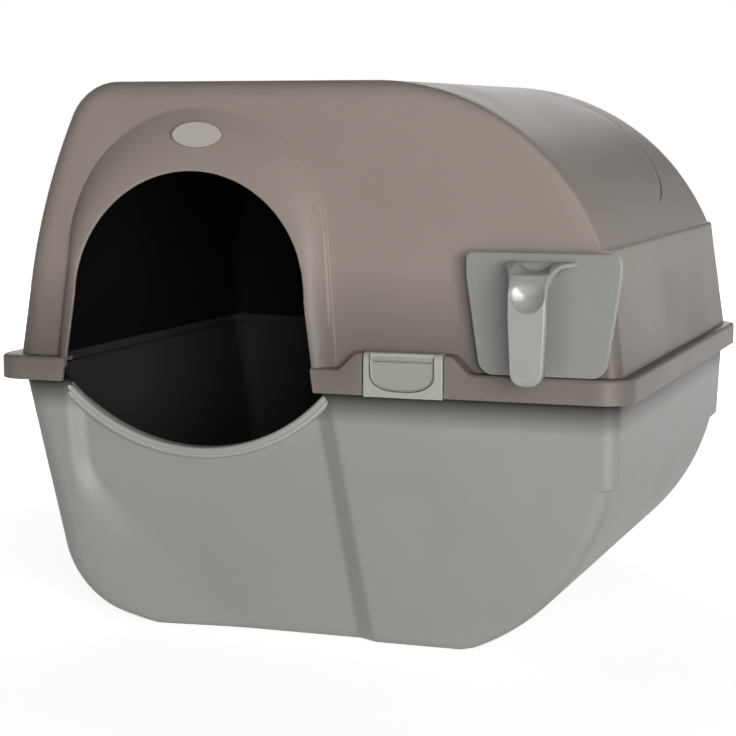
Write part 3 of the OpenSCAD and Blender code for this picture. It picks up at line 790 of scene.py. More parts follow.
@dataclass
class CoverShell:
    """The taupe upper shell, with its hood and the rim band."""

    rim: Rim
    door: Entrance
    top_z: float
    wall: float = 3.0
    front_lean: float = 5.5
    left_lean: float = 6.2
    left_foot_h: float = 63.0
    sweep_r: float = 530.0
    shoulder_r: float = 46.0
    right_lean: float = 7.7
    crease_h: float = 101.0
    crease_step: float = 5.0
    crease_round: float = 4.0
    barrel_r: float = 216.0
    left_edge_r: float = 20.0
    top_edge_r: float = 18.0
    barrel_edge_r: float = 6.0
    crease_edge_r: float = 3.0
    right_edge_r: float = 12.0
    seat_in: float = 7.7
    groove_r: float = 2.0
    clip_gap: float = 1.2
    notch_d: float = 11.2
    tray_gap: float = 1.5
    slant_reach: float = 20.0

    def __post_init__(self) -> None:
        """Works out the outline's centres."""
        rim = self.rim
        self.left_foot = rim.ledge_left - rim.width / 2
        self.right_foot = rim.width / 2 - rim.ledge_right
        self.half_foot = rim.depth / 2 - rim.ledge_front
        self.foot_z = rim.ledge_z - self.seat_in
        self.crease_z = rim.ledge_z + self.crease_h
        self.barrel_z = self.top_z - self.barrel_r
        crease_x = self.right_foot - self.crease_h * tan_deg(self.right_lean) - self.crease_step
        self.barrel_x = crease_x - math.sqrt(self.barrel_r ** 2 - (self.crease_z - self.barrel_z) ** 2)
        self.barrel = (self.barrel_x, self.barrel_z)
        knee = (self.left_foot + self.left_foot_h * tan_deg(self.left_lean), rim.ledge_z + self.left_foot_h)
        self.sweep = around(knee, self.sweep_r, -self.left_lean)
        shoulder_z = self.top_z - self.shoulder_r
        reach = self.sweep_r - self.shoulder_r
        self.shoulder_a = math.degrees(math.asin((shoulder_z - self.sweep[1]) / reach))
        self.shoulder = (self.sweep[0] - reach * cos_deg(self.shoulder_a), shoulder_z)
        self.front = EndFace(self.half_foot, rim.ledge_z, self.front_lean, -1.0)
        self.back = EndFace(self.half_foot, rim.ledge_z, self.front_lean, 1.0)

    def wall_sides(self, z: float, inset: float) -> tuple[float, float, float]:
        """The straight walls' left, right and half depth at a height near the foot.

        Args:
            z: The height.
            inset: How far inside the outer face.

        Returns:
            Left x, right x and half depth.
        """
        up = z - self.rim.ledge_z
        return (self.left_foot + inset + up * tan_deg(self.left_lean),
                self.right_foot - inset - up * tan_deg(self.right_lean),
                self.half_foot - inset - up * tan_deg(self.front_lean))

    def profile(self) -> Profile:
        """The outline from the left foot over the top to the right foot, without the crease's step."""
        left, right, _ = self.wall_sides(self.foot_z, 0.0)
        line = Profile((left, self.foot_z))
        knee = self.rim.ledge_z + self.left_foot_h
        line.line(self.left_foot + self.left_foot_h * tan_deg(self.left_lean), knee, 12).mark("knee")
        line.arc(self.sweep, self.sweep_r, 180 - self.left_lean, 180 - self.shoulder_a, 22).mark("sweep")
        line.arc(self.shoulder, self.shoulder_r, 180 - self.shoulder_a, 90.0, 20).mark("top_left")
        line.line(self.barrel_x, self.top_z, 26).mark("top_right")
        last = math.degrees(math.asin((self.crease_z - self.barrel_z) / self.barrel_r))
        line.arc(self.barrel, self.barrel_r, 90.0, last, 54).mark("crease")
        x, z = line.points[-1]
        line.line(x + self.crease_round * tan_deg(self.right_lean), z - self.crease_round, 9).mark("wall")
        return line.line(right - self.crease_step, self.foot_z, 16)

    def edge_radii(self, line: Profile) -> Points:
        """The front edge's radius along the outline."""
        keys = {0: self.left_edge_r, line.marks["sweep"]: self.left_edge_r,
                line.marks["top_left"]: self.top_edge_r, line.marks["top_right"]: self.top_edge_r,
                line.marks["top_right"] + 30: self.barrel_edge_r, line.marks["crease"]: self.crease_edge_r,
                line.marks["wall"] + 3: self.right_edge_r}
        return line.spread(keys)

    def door_rows(self, line: Profile, edge: Points) -> list[Points]:
        """Rows from the doorway's edge over the hood to the front face's edge.

        Args:
            line: The outline.
            edge: The front face's edge row.

        Returns:
            The rows, without the edge row.
        """
        door, marks = self.door, line.marks
        spots = [0, marks["knee"], marks["top_left"] - 10, marks["top_right"], marks["crease"], len(edge) - 1]
        facing = [0.0, 0.95, 1.28, 1.655, 1.89, 3.0]  # the places on the arch across from those spots
        q = np.interp(np.arange(len(edge)), spots, facing)
        arch = door.along(q, door.radius, door.z, door.half_at(self.foot_z), self.foot_z)
        hood = door.along(q, door.hood_r, door.hood_z, door.hood_foot_half + door.hood_spread, self.foot_z)
        width = np.linalg.norm(hood - arch, axis=1)
        near = np.clip(np.minimum(q, 3.0 - q), 0.0, 1.0)
        out = door.hood_foot_out + (door.hood_out - door.hood_foot_out) * smooth_step(near)
        land = door.land_h * smooth_step((q - 1.55) / 0.25)
        bend = 1.0 - door.land_w / width
        shares = [np.full(len(q), s) * bend for s in np.linspace(0.0, 1.0, 25) ** 0.9]
        shares.append(np.ones(len(q)) - 0.5 / width)
        rows = []
        for share in shares:
            flat = arch + (hood - arch) * share[:, None]
            height = land + (out - land) * (1.0 - np.clip(share / bend, 0.0, 1.0) ** 2.1)
            rows.append(self.on_front(flat, height))
        rows.append(self.on_front(hood, land * 0.75))
        flat_edge = edge[:, [0, 2]]
        reach = np.linalg.norm(flat_edge - hood, axis=1)
        rows.append(self.on_front(hood + (flat_edge - hood) * (0.9 / reach)[:, None], np.zeros(len(q))))
        return rows + rows_between(rows[-1], edge, 16)[:-1]

    def on_front(self, flat: Points, height: Points) -> Points:
        """Points on the front face, raised above it.

        Args:
            flat: Rows of x and z.
            height: How far each stands out of the face.

        Returns:
            Rows of x, y and z.
        """
        y = self.front.depth(flat[:, 1]) - height / cos_deg(self.front_lean)
        return np.stack([flat[:, 0], y, flat[:, 1]], 1)

    def skin(self) -> bpy.types.Object:
        """The shell from the doorway's edge over the top to the back, 3 mm thick."""
        line = self.profile()
        outline, normals = line.array(), line.normals((0.0, self.rim.ledge_z + 100.0), ("crease", "wall"))
        radii = self.edge_radii(line)
        front = self.front.fillet(outline, normals, radii, 7)
        back = self.back.fillet(outline, normals, radii, 7)[::-1]
        face = self.door_rows(line, front[0])
        tube = rows_between(front[-1], back[0], 22)
        end = back_rows(back[-1], self.back, (0.0, self.foot_z), BACK_DISC, 12)
        rows = stepped_rows(face, front + tube + back[1:], end, line.step_out(self.crease_step))
        piece = Modeller.grid("cover", rows, Ends.LAST)
        coat_shell(piece, TAUPE, SHADED, self.wall)
        self.round_doorway(piece)
        return piece

    def round_doorway(self, piece: bpy.types.Object) -> None:
        """Rounds the doorway's edge.

        Args:
            piece: The shell.
        """
        mesh = bmesh.new()
        mesh.from_mesh(piece.data)
        low, front, right = (self.foot_z + 0.5) * MM, -150 * MM, 60 * MM
        sharp = [e for e in mesh.edges if e.is_manifold and e.calc_face_angle() > math.radians(50)
                 and all(v.co.z > low and v.co.y < front and v.co.x < right for v in e.verts)]
        bmesh.ops.bevel(mesh, geom=sharp, offset=1.1 * MM, segments=3, affect="EDGES", profile=0.5)
        mesh.to_mesh(piece.data)
        mesh.free()

    def band(self) -> bpy.types.Object:
        """The rim band with its humps, open below, from one side of the doorway round to the other."""
        rim, door = self.rim, self.door
        path = RimPath(door.x + door.foot_half, door.x - door.foot_half)
        rows = []
        for spot in path.spots:
            x, y = path.point(spot, -rim.width / 2, rim.width / 2, rim.depth / 2, rim.corner, rim.corner)
            top = rim.ledge_z + rim.hump(x, y)
            section = [(0.6, rim.under_z), (0.0, rim.under_z + 0.6)]
            section += [(rim.edge * (1 - cos_deg(a)), top - rim.edge * (1 - sin_deg(a)))
                        for a in QUARTER]
            ring = [self.band_point(path, spot, inset, z) for inset, z in section]
            ring += [self.wall_point(path, spot, top), self.wall_point(path, spot, top - rim.wall)]
            ring += [self.band_point(path, spot, rim.wall, top - rim.wall),
                     self.band_point(path, spot, rim.wall, rim.under_z)]
            rows.append([self.leaning(path, point) for point in ring])
        return Modeller.grid("band", np.array(rows), Ends.BOTH, closed=True, flip=True)

    def band_point(self, path: RimPath, spot: tuple[int, float], inset: float, z: float) -> tuple:
        """A point of the band's section, measured in from its outer face."""
        rim = self.rim
        r = rim.corner - inset
        x, y = path.point(spot, inset - rim.width / 2, rim.width / 2 - inset, rim.depth / 2 - inset, r, r)
        return x, y, z

    def wall_point(self, path: RimPath, spot: tuple[int, float], z: float) -> tuple:
        """A point in the middle of the shell's wall."""
        inset = self.wall / 2
        left, right, half = self.wall_sides(z, inset)
        x, y = path.point(spot, left, right, half, self.left_edge_r - inset, self.right_edge_r - inset)
        return x, y, z

    def leaning(self, path: RimPath, point: tuple) -> list[float]:
        """Slants the band's two ends with the doorway's sides."""
        door, (x, y, z) = self.door, point
        shift = (z - door.foot_z) * (door.foot_half - door.radius) / (door.z - door.foot_z)
        if y < 0:
            x -= shift * max(0.0, 1 - abs(x - path.start) / self.slant_reach)
            x += shift * max(0.0, 1 - abs(x - path.stop) / self.slant_reach)
        return [x, y, z]

    def build(self) -> bpy.types.Object:
        """Builds the cover with its cuts, seats and groove.

        Returns:
            The finished piece.
        """
        piece = self.skin()
        Modeller.combine(piece, self.band(), "UNION")
        for tool in self.cutters():
            Modeller.combine(piece, tool, "DIFFERENCE")
        Modeller.combine(piece, self.groove(), "DIFFERENCE")
        Modeller.join(piece, self.seats())
        Modeller.shade(piece, 32.0)
        return piece

    def cutters(self) -> list[bpy.types.Object]:
        """The blocks that cut the clips' notches and the tray's hole."""
        rim = self.rim
        tools = []
        for side in Side:
            half = rim.clip_half(side) + self.clip_gap
            height = (rim.under_z - PAST, node_box(side.value)[1][2] + PAST)
            tools.append(rim.clip_block("notch", side, (-half, half), (-PAST, self.notch_d), height))
        low, high = node_box("waste_tray")
        gap = self.tray_gap
        tools.append(Modeller.box("tray_hole", (low[0] - gap, -self.half_foot - PAST, low[2] - gap),
                                  (high[0] + gap, PAST - self.half_foot, high[2] + gap)))
        return tools

    def groove(self) -> bpy.types.Object:
        """A thin round bar that cuts the barrel's panel line; its ends rise clear of the wall."""
        start_y, end_y, low_a, high_a, last_a = 28.0, 171.0, 30.0, 62.0, 82.0
        path = [(low_a + (high_a - low_a) * (1 - cos_deg(90 * i / 40)),
                 start_y + (end_y - start_y) * sin_deg(90 * i / 40)) for i in range(41)]
        path += [(high_a + (last_a - high_a) * i / 16, end_y) for i in range(1, 17)]
        rows = []
        spots = [around(self.barrel, self.barrel_r, a) for a, _ in path]
        places = np.array([[x, y, z] for (x, z), (_, y) in zip(spots, path)])
        along = np.gradient(places, axis=0)
        for i, (a, _) in enumerate(path):
            up = np.array([cos_deg(a), 0.0, sin_deg(a)])
            tangent = along[i] / np.linalg.norm(along[i])
            across = np.cross(tangent, up)
            fade = smooth_step(min(i / 12, (len(path) - 1 - i) / 14))
            lift = (1 - fade) * (self.groove_r + 0.3)
            ring = [places[i] + up * (lift + self.groove_r * sin_deg(t)) + across * self.groove_r * cos_deg(t)
                    for t in range(0, 360, 45)]
            rows.append(ring)
        return Modeller.outward(Modeller.grid("groove", np.array(rows), Ends.BOTH, closed=True))

    def seats(self) -> list[bpy.types.Object]:
        """The blocks inside that carry the rails and the screen."""
        blocks = []
        seat_half, seat_h, boss_half, boss_y = 7.0, 8.0, 8.0, 150
        rail_low, rail_high = node_box("tray_rail_left")
        tray_low, tray_high = node_box("waste_tray")
        top = rail_low[2]
        for x in (tray_low[0] + 4, tray_high[0] - 4):
            for sign in (-1, 1):
                y0, y1 = sorted((sign * (rail_high[1] - 16), sign * (rail_high[1] + 2.5)))
                corners = (x - seat_half, y0, top - seat_h), (x + seat_half, y1, top)
                blocks.append(Modeller.box("rail_seat", *corners))
        screen_low, screen_high = node_box("sifting_screen")
        x = screen_low[0] + 13
        for y in (-boss_y, boss_y):
            low = (x - boss_half, y - boss_half, screen_high[2])
            high = (x + boss_half, y + boss_half, self.top_z - self.wall / 2)
            blocks.append(Modeller.box("screen_boss", low, high))
        for block in blocks:
            Modeller.bevel(block, 0.8, 2, lambda e: True)
        return blocks


@dataclass
class BaseTub:
    """The grey lower shell, with its set-back panel, rolled lip and collar."""

    rim: Rim
    door: Entrance
    cover: CoverShell
    wall: float = 3.0
    in_left: float = 18.5
    in_right: float = 12.0
    in_front: float = 14.0
    lean: float = 5.95
    left_lean: float = 10.3
    left_r: float = 80.0
    ramp_h: float = 8.0
    ramp_a: float = 15.0
    right_lean: float = 2.0
    step_z: float = 143.0
    step: float = 5.3
    step_round: float = 5.0
    barrel_r: float = 199.0
    barrel_z: float = 186.0
    bottom_edge_r: float = 8.0
    left_edge_r: float = 20.0
    right_edge_r: float = 12.0
    panel_depth: float = 9.0
    pilaster_top: float = 45.0
    pilaster_foot: float = 12.0
    crease_top_x: float = 24.0
    crease_foot_x: float = 57.0
    flange_up: float = 1.5
    flange_t: float = 3.0
    flange_in: float = 3.5
    clip_gap: float = 0.4
    notch_d: float = 12.2
    lug_w: float = 6.0
    lug_up: float = 1.4
    lug_over: float = 4.4
    lug_inward: tuple[float, float] = (3.4, 15.0)

    def __post_init__(self) -> None:
        """Works out the outline's centres."""
        rim = self.rim
        self.left = self.in_left - rim.width / 2
        self.right = rim.width / 2 - self.in_right
        self.half = rim.depth / 2 - self.in_front
        self.top_z = rim.under_z + self.flange_up + self.flange_t / 2
        corner_z = self.ramp_h + self.left_r * cos_deg(self.ramp_a)
        corner_x = (self.left + (rim.under_z - corner_z + self.left_r * sin_deg(self.left_lean))
                    * tan_deg(self.left_lean) + self.left_r * cos_deg(self.left_lean))
        self.corner = (corner_x, corner_z)
        wall_x = self.right - (rim.under_z - self.step_z) * tan_deg(self.right_lean)
        drop = self.barrel_z - self.step_z
        self.barrel = (wall_x - self.step - math.sqrt(self.barrel_r ** 2 - drop ** 2), self.barrel_z)
        self.front = EndFace(self.half, rim.under_z, -self.lean, -1.0)
        self.back = EndFace(self.half, rim.under_z, -self.lean, 1.0)

    def left_at(self, z: Points) -> Points:
        """x of the left side at a height."""
        cx, cz = self.corner
        r = self.left_r
        line = self.left + (self.rim.under_z - z) * tan_deg(self.left_lean)
        arc = cx - np.sqrt(np.maximum(0.0, r * r - (cz - z) ** 2))
        ramp = cx - r * sin_deg(self.ramp_a) + (self.ramp_h - z) / tan_deg(self.ramp_a)
        return np.where(z > cz - r * sin_deg(self.left_lean), line, np.where(z > self.ramp_h, arc, ramp))

    def profile(self) -> Profile:
        """The outline from the left top round below to the right top, without the step."""
        rim_z = self.rim.under_z
        line = Profile((float(self.left_at(np.array(self.top_z))), self.top_z))
        cx, cz = self.corner
        line.line(cx - self.left_r * cos_deg(self.left_lean), cz - self.left_r * sin_deg(self.left_lean), 22)
        line.mark("corner")
        line.arc(self.corner, self.left_r, 180 + self.left_lean, 270 - self.ramp_a, 18).mark("ramp")
        ramp_end = line.points[-1][0] + self.ramp_h / tan_deg(self.ramp_a)
        line.line(ramp_end - 10, 10 * tan_deg(self.ramp_a), 4)
        line.line(ramp_end - 3, 1.2, 2)
        line.line(ramp_end + 3, 0.0, 2).mark("floor")
        line.line(self.crease_foot_x - 26, 0.0, 24).mark("panel_start")
        line.line(self.crease_foot_x + 10, 0.0, 18).mark("panel_end")
        first = -math.degrees(math.asin(self.barrel_z / self.barrel_r))
        line.line(around(self.barrel, self.barrel_r, first)[0] - 5, 0.0, 10)
        lift = first + 2.0
        line.line(*around(self.barrel, self.barrel_r, lift), 4)
        last = math.degrees(math.asin((self.step_z - self.barrel_z) / self.barrel_r))
        line.arc(self.barrel, self.barrel_r, lift, last, 34).mark("crease")
        x, z = line.points[-1]
        line.line(x + self.step_round * tan_deg(self.right_lean), z + self.step_round, 9).mark("wall")
        top_x = self.right - self.step + (self.top_z - rim_z) * tan_deg(self.right_lean)
        return line.line(top_x, self.top_z, 12)

    def edge_radii(self, line: Profile) -> Points:
        """The front edge's radius along the outline."""
        keys = {0: self.left_edge_r, line.marks["corner"]: self.left_edge_r,
                line.marks["ramp"]: self.bottom_edge_r, line.marks["panel_end"] + 18: self.bottom_edge_r,
                line.marks["crease"] - 4: self.right_edge_r}
        return line.spread(keys)

    def panel(self, x: Points, z: Points) -> Points:
        """How far the front face is set back at a point.

        Args:
            x: The points' x.
            z: Their heights.

        Returns:
            The depths.
        """
        share = np.clip(z / self.rim.under_z, 0.0, 1.0)
        pilaster = self.pilaster_foot + (self.pilaster_top - self.pilaster_foot) * share
        left = self.left_at(np.maximum(z, 6.0)) + pilaster
        right = self.crease_foot_x + (self.crease_top_x - self.crease_foot_x) * share
        rise = smooth_step((x - left + 3.0) / (15.0 + 90.0 * smooth_step((150.0 - z) / 120.0)))
        slope = (right + 1.0 - x) / 17.0
        fall = np.mean([np.clip(slope + shift, 0.0, 1.0) for shift in np.linspace(-0.1, 0.1, 9)], axis=0)
        return self.panel_depth * rise * fall

    def sill_row(self, line: Profile, edge: Points) -> Points:
        """The front face's upper edge: along the sill, then along the rim.

        Args:
            line: The outline.
            edge: The front face's edge row.

        Returns:
            The row.
        """
        door = self.door
        start = door.x - door.sill_half
        shift = self.crease_top_x - self.crease_foot_x
        panel_start, end = line.marks["panel_start"], line.marks["panel_end"]
        length = np.concatenate([[0.0], np.cumsum(np.linalg.norm(np.diff(line.array(), axis=0), axis=1))])
        x = np.empty(len(edge))
        reach = edge[panel_start, 0] + shift - start
        x[:panel_start + 1] = start + reach * length[:panel_start + 1] / length[panel_start]
        x[panel_start:end + 1] = edge[panel_start:end + 1, 0] + shift
        left_over = (length[end:] - length[end]) / (length[-1] - length[end])
        x[end:] = x[end] + (edge[-1, 0] - x[end]) * left_over
        across = np.abs(x - door.x)
        curve = door.sill_z + door.sill_r - np.sqrt(np.maximum(0.0, door.sill_r ** 2 - across ** 2))
        z = np.where(across < door.sill_half - 0.01, curve, self.top_z)
        return np.stack([x, self.front.depth(z), z], 1)

    def skin(self) -> bpy.types.Object:
        """The shell from the sill round below to the back, 3 mm thick."""
        line = self.profile()
        outline, normals = line.array(), line.normals((0.0, 120.0), ("crease", "wall"))
        radii = self.edge_radii(line)
        front = self.front.fillet(outline, normals, radii, 6)
        back = self.back.fillet(outline, normals, radii, 6)[::-1]
        sill = self.sill_row(line, front[0])
        face = [sill] + rows_between(sill, front[0], 56)[:-1]
        inset = self.panel(front[0][:, 0], front[0][:, 2])
        for row in face + front:
            depth = self.panel(row[:, 0], row[:, 2])
            row[:, 1] += np.where(np.arange(len(row)) > 0, depth, 0.0) if row is not front[-1] else inset
        tube = rows_between(front[-1], back[0], 20)
        end = back_rows(back[-1], self.back, (0.0, self.top_z), -BACK_DISC, 12)
        rows = stepped_rows(face, front + tube + back[1:], end, line.step_out(self.step))
        piece = Modeller.grid("base", rows, Ends.LAST, flip=True)
        mesh = bmesh.new()
        mesh.from_mesh(piece.data)
        bmesh.ops.remove_doubles(mesh, verts=mesh.verts[:], dist=0.01 * MM)
        mesh.to_mesh(piece.data)
        mesh.free()
        coat_shell(piece, GREY, SHADED_GREY, self.wall)
        return piece

    def lip(self) -> bpy.types.Object:
        """The rolled lip under the doorway: a rounded section with a groove, spun along the sill."""
        door = self.door
        centre = (door.x, door.sill_z + door.sill_r)
        half_a = math.degrees(math.asin(door.sill_half / door.sill_r))
        half_w, half_d, r = door.lip_w / 2, door.lip_d / 2, door.lip_r
        section = []
        for cw, cd, first in ((half_w - r, half_d - r, 0), (r - half_w, half_d - r, 90),
                              (r - half_w, r - half_d, 180), (half_w - r, r - half_d, 270)):
            section += [around((cw, cd), r, first + a) for a in QUARTER]
            if first == 180:
                section += [(-1.4, -half_d), (-0.5, -half_d + 0.9), (0.5, -half_d + 0.9), (1.4, -half_d)]
        rows = []
        for i in range(61):
            a = -90 - half_a + 2 * half_a * i / 60
            ring = []
            for w, d in section:
                x, z = around(centre, door.sill_r + half_w + w, a)
                ring.append((x, float(self.front.depth(z)) + door.lip_in + half_d + d, z))
            rows.append(ring)
        piece = Modeller.outward(Modeller.grid("lip", np.array(rows), Ends.BOTH, closed=True))
        finishes = (GREY, SHADED_GREY, LIGHTER_LIP)
        for finish in finishes:
            piece.data.materials.append(finish.material())
        for polygon in piece.data.polygons:
            polygon.material_index = finishes.index(LIGHTER_LIP)
        return piece

    def collar(self) -> bpy.types.Object:
        """The flange and the collar that carry the cover, from one side of the doorway to the other."""
        rim, door, cover = self.rim, self.door, self.cover
        door_gap, wall_gap, drop, soft = 4.0, 0.3, 8.8, 0.8
        path = RimPath(door.x + door.foot_half + door_gap, door.x - door.foot_half - door_gap)
        low = rim.under_z + self.flange_up
        high = low + self.flange_t
        top = rim.ledge_z - drop
        inner = self.wall + wall_gap
        sides = (self.left + inner, self.right - inner, self.half - inner)
        corners = (self.left_edge_r - self.wall, self.right_edge_r - self.wall)
        rows = []
        for spot in path.spots:
            ring = [path.point(spot, *sides, *corners) + (low,)]
            for inset, z in ((self.flange_in, low), (self.flange_in, high)):
                r = rim.corner - inset
                ring.append(path.point(spot, inset - rim.width / 2, rim.width / 2 - inset,
                                       rim.depth / 2 - inset, r, r) + (z,))
            for inset, z in ((0.0, high), (0.0, top - soft), (soft, top), (self.wall - soft, top),
                             (self.wall, top - soft), (self.wall, high)):
                left, right, half = cover.wall_sides(z, inset)
                ring.append(path.point(spot, left, right, half, self.left_edge_r - inset,
                                       self.right_edge_r - inset) + (z,))
            rows.append(ring)
        piece = Modeller.grid("collar", np.array(rows), Ends.BOTH, closed=True, flip=True)
        # The inner columns get the painted shade of the inside.
        inner_columns = (5, 6, 7, 8)
        piece.data.materials.append(GREY.material())
        piece.data.materials.append(SHADED_GREY.material())
        for polygon in piece.data.polygons:
            polygon.material_index = int(polygon.index % len(ring) in inner_columns)
        return Modeller.outward(piece)

    def build(self) -> bpy.types.Object:
        """Builds the tub with its lip, collar and clip lugs.

        Returns:
            The finished piece.
        """
        piece = self.skin()
        Modeller.combine(piece, self.collar(), "UNION")
        piece.data.materials.append(LIGHTER_LIP.material())
        Modeller.combine(piece, self.lip(), "UNION")
        Modeller.join(piece, self.clip_seats(piece))
        Modeller.shade(piece, 32.0)
        return piece

    def clip_seats(self, piece: bpy.types.Object) -> list[bpy.types.Object]:
        """Cuts a notch for each clip and makes the two lugs beside it.

        Args:
            piece: The tub.

        Returns:
            The lugs.
        """
        low_z = self.rim.under_z - 1.0
        high_z = self.rim.under_z + self.flange_up + self.flange_t + 0.1
        lug_height = (low_z + self.lug_up, high_z + self.lug_over)
        lugs = []
        for side in Side:
            half = self.rim.clip_half(side) + self.clip_gap
            notch = self.rim.clip_block("notch", side, (-half, half), (-PAST, self.notch_d), (low_z, high_z))
            Modeller.combine(piece, notch, "DIFFERENCE")
            for along in ((-half - self.lug_w, -half), (half, half + self.lug_w)):
                lugs.append(self.rim.clip_block("lug", side, along, self.lug_inward, lug_height))
        for lug in lugs:
            Modeller.bevel(lug, 0.7, 2, lambda e: True)
        return lugs


@dataclass
class WasteTrayFront:
    """The trapezoid plate in front of the waste tray, and its hooked handle."""

    # Across the handle's underside: the place from 1 to -1, and how far it is rounded off
    UNDERSIDE = ((1.0, 2.0), (0.93, 0.4), (0.8, 0.0), (0.6, 0.0), (0.3, 0.0), (0.0, 0.0),
                 (-0.3, 0.0), (-0.6, 0.0), (-0.8, 0.0), (-0.93, 0.4), (-1.0, 2.0))

    foot_w: float = 102.0
    side_h: float = 18.0
    foot_r: float = 12.0
    top_r: float = 5.0
    edge: float = 1.1
    handle_w: float = 30.0
    bend_r: float = 30.0
    thickness: float = 13.0
    end_r: float = 11.0
    pocket_foot: float = 54.0
    pocket_depth: float = 6.0
    side_rim: float = 0.3
    wing_t: float = 3.2
    tab_s: float = 40.0
    tab_ridge: float = 0.8
    neck_depth: float = 7.0
    taper: float = 2.6
    taper_from: float = 75.0
    root_thin: float = 0.25
    end_round: float = 4.0

    def plate(self) -> bpy.types.Object:
        """The plate: a box, narrowed at its foot, with round corners and rounded edges.

        Returns:
            The finished piece.
        """
        low, high = node_box("tray_front_plate")
        middle = (low[0] + high[0]) / 2
        piece = Modeller.box("tray_plate", low, high)
        knee = (high[2] - self.side_h) * MM
        Modeller.select(piece, "FACE", lambda f: True)
        bpy.ops.mesh.bisect(plane_co=(0, 0, knee), plane_no=(0, 0, 1))
        Modeller.select(piece, "VERT", lambda v: v.co.z < low[2] * MM + 1e-5)
        bpy.ops.transform.resize(value=(self.foot_w / (high[0] - low[0]), 1, 1),
                                 center_override=(middle * MM, 0, low[2] * MM))

        def through(edge: bmesh.types.BMEdge, z: float) -> bool:
            """Whether an edge runs front to back at a height."""
            a, b = edge.verts
            return abs(a.co.y - b.co.y) > 1e-4 and abs(a.co.z - z * MM) < 1e-4 and abs(b.co.z - z * MM) < 1e-4

        Modeller.bevel(piece, self.foot_r * 0.93, 10, lambda e: through(e, low[2]))
        Modeller.bevel(piece, self.top_r, 6, lambda e: through(e, high[2]))
        Modeller.bevel(piece, 4.0, 4, lambda e: through(e, knee / MM))
        flat = 0.99
        Modeller.bevel(piece, self.edge, 3, lambda e: len(e.link_faces) == 2 and sum(
            abs(f.normal.y) > flat for f in e.link_faces) == 1)
        Modeller.select(piece, "FACE", lambda f: abs(f.normal.y) > flat)
        bpy.ops.mesh.dissolve_faces()
        bpy.ops.object.mode_set(mode="OBJECT")
        Modeller.margin(piece, 0.8, lambda f: f.normal.y < -flat)
        Modeller.shade(piece, 35.0)
        return piece

    def handle(self) -> bpy.types.Object:
        """The handle: a tongue that leaves the plate wide, bends down and carries a thumb pocket.

        Returns:
            The finished piece.
        """
        low, high = node_box("tray_handle")
        middle, root_half = (low[0] + high[0]) / 2, (high[0] - low[0]) / 2
        out, top, foot = high[1] - low[1], high[2], low[2]
        flat = out - self.bend_r
        bend = self.bend_r * math.pi / 2
        drop = top - self.bend_r - foot
        total = flat + bend + drop
        stations = np.concatenate([np.linspace(0, flat + bend, 110),
                                   flat + bend + np.linspace(0, drop, 76)[1:]])
        lateral = np.concatenate([np.linspace(-1, -0.7, 12), np.linspace(-0.7, 0.7, 30)[1:],
                                  np.linspace(0.7, 1, 12)[1:]])
        pocket_end = flat + bend + (top - self.bend_r) - (foot + self.pocket_foot + 3.0)
        rows = []
        for s in stations:
            if s < flat:
                y, z, up = -s, top, 90.0
            elif s < flat + bend:
                up = 90.0 - math.degrees((s - flat) / self.bend_r)
                y = -(flat + self.bend_r * cos_deg(up))
                z = top - self.bend_r + self.bend_r * sin_deg(up)
            else:
                y, z, up = -out, top - self.bend_r - (s - flat - bend), 0.0
            widen = smooth_step(1 - s / (flat + bend * 0.75))
            half = self.handle_w / 2 + (root_half - self.handle_w / 2) * float(widen)
            left = total - s
            half -= self.taper * float(np.clip((s - self.taper_from) / (total - self.taper_from), 0.0, 1.0))
            if left < self.end_r:
                half -= self.end_r - math.sqrt(max(0.0, self.end_r ** 2 - (self.end_r - left) ** 2))
            thick = self.thickness * (1.0 - self.root_thin * float(smooth_step(1 - s / flat)))
            thin, r = thick, self.end_round
            if left <= r:
                thin -= 2 * (r - math.sqrt(max(0.0, r ** 2 - (r - left) ** 2)))
            outward = np.array([0.0, -cos_deg(up), sin_deg(up)])
            place = np.array([middle, high[1] + y, z])
            dips = self.dips(lateral * half, s, half, pocket_end)
            centre, across = (thick - thin) / 2, np.array([half, 0.0, 0.0])
            ring = [place + x * across - outward * (centre + d) for x, d in zip(lateral, dips)]
            for x, e in self.UNDERSIDE:
                wing = float(smooth_step((abs(x) * half - self.handle_w / 2 + 2.0) / 9.0))
                under = (centre + thin - e) * (1 - wing) + self.wing_t * wing
                ring.append(place + x * across - outward * under)
            rows.append(ring)
        piece = Modeller.outward(Modeller.grid("tray_handle_grip", np.array(rows), Ends.BOTH, closed=True))
        Modeller.shade(piece, 50.0)
        return piece

    def dips(self, x: Points, s: float, half: float, pocket_end: float) -> Points:
        """How deep the handle's outer surface lies below its edges, across one station.

        Args:
            x: The points across the handle.
            s: How far along the handle the station is.
            half: Half the handle's width there.
            pocket_end: Where the thumb pocket ends.

        Returns:
            The depths.
        """
        edge = 1.4 * (1.0 - np.sqrt(1.0 - np.clip((np.abs(x) - (half - 1.4)) / 1.4, 0.0, 1.0) ** 2))
        if s < self.tab_s:
            rim = min(half - 3.0, 15.0)
            span = float(smooth_step((s - 2.0) / 7.0) * smooth_step((self.tab_s - 2.0 - s) / 4.0))
            return edge + self.neck_depth * span * (1.0 - np.clip(np.abs(x) / rim, 0.0, 1.0) ** 3)
        rim, left = half - self.side_rim, pocket_end - s
        if left <= 0.0:
            return edge
        across = np.clip(np.abs(x) / rim, 0.0, 1.0)
        down = max(0.0, 1.0 - left / rim)
        end = np.clip(down / np.sqrt(np.maximum(1e-6, 1.0 - across ** 2)), 0.0, 1.0)
        share = (s - self.tab_s) / (pocket_end - self.tab_s)
        fall = self.pocket_depth * float(smooth_step(share * 1.8))
        ridge = self.tab_ridge * math.exp(-((s - self.tab_s) / 1.3) ** 2)
        return edge + fall * (1.0 - across ** 1.7) * (1.0 - end ** 3) - ridge * (1.0 - across ** 4)


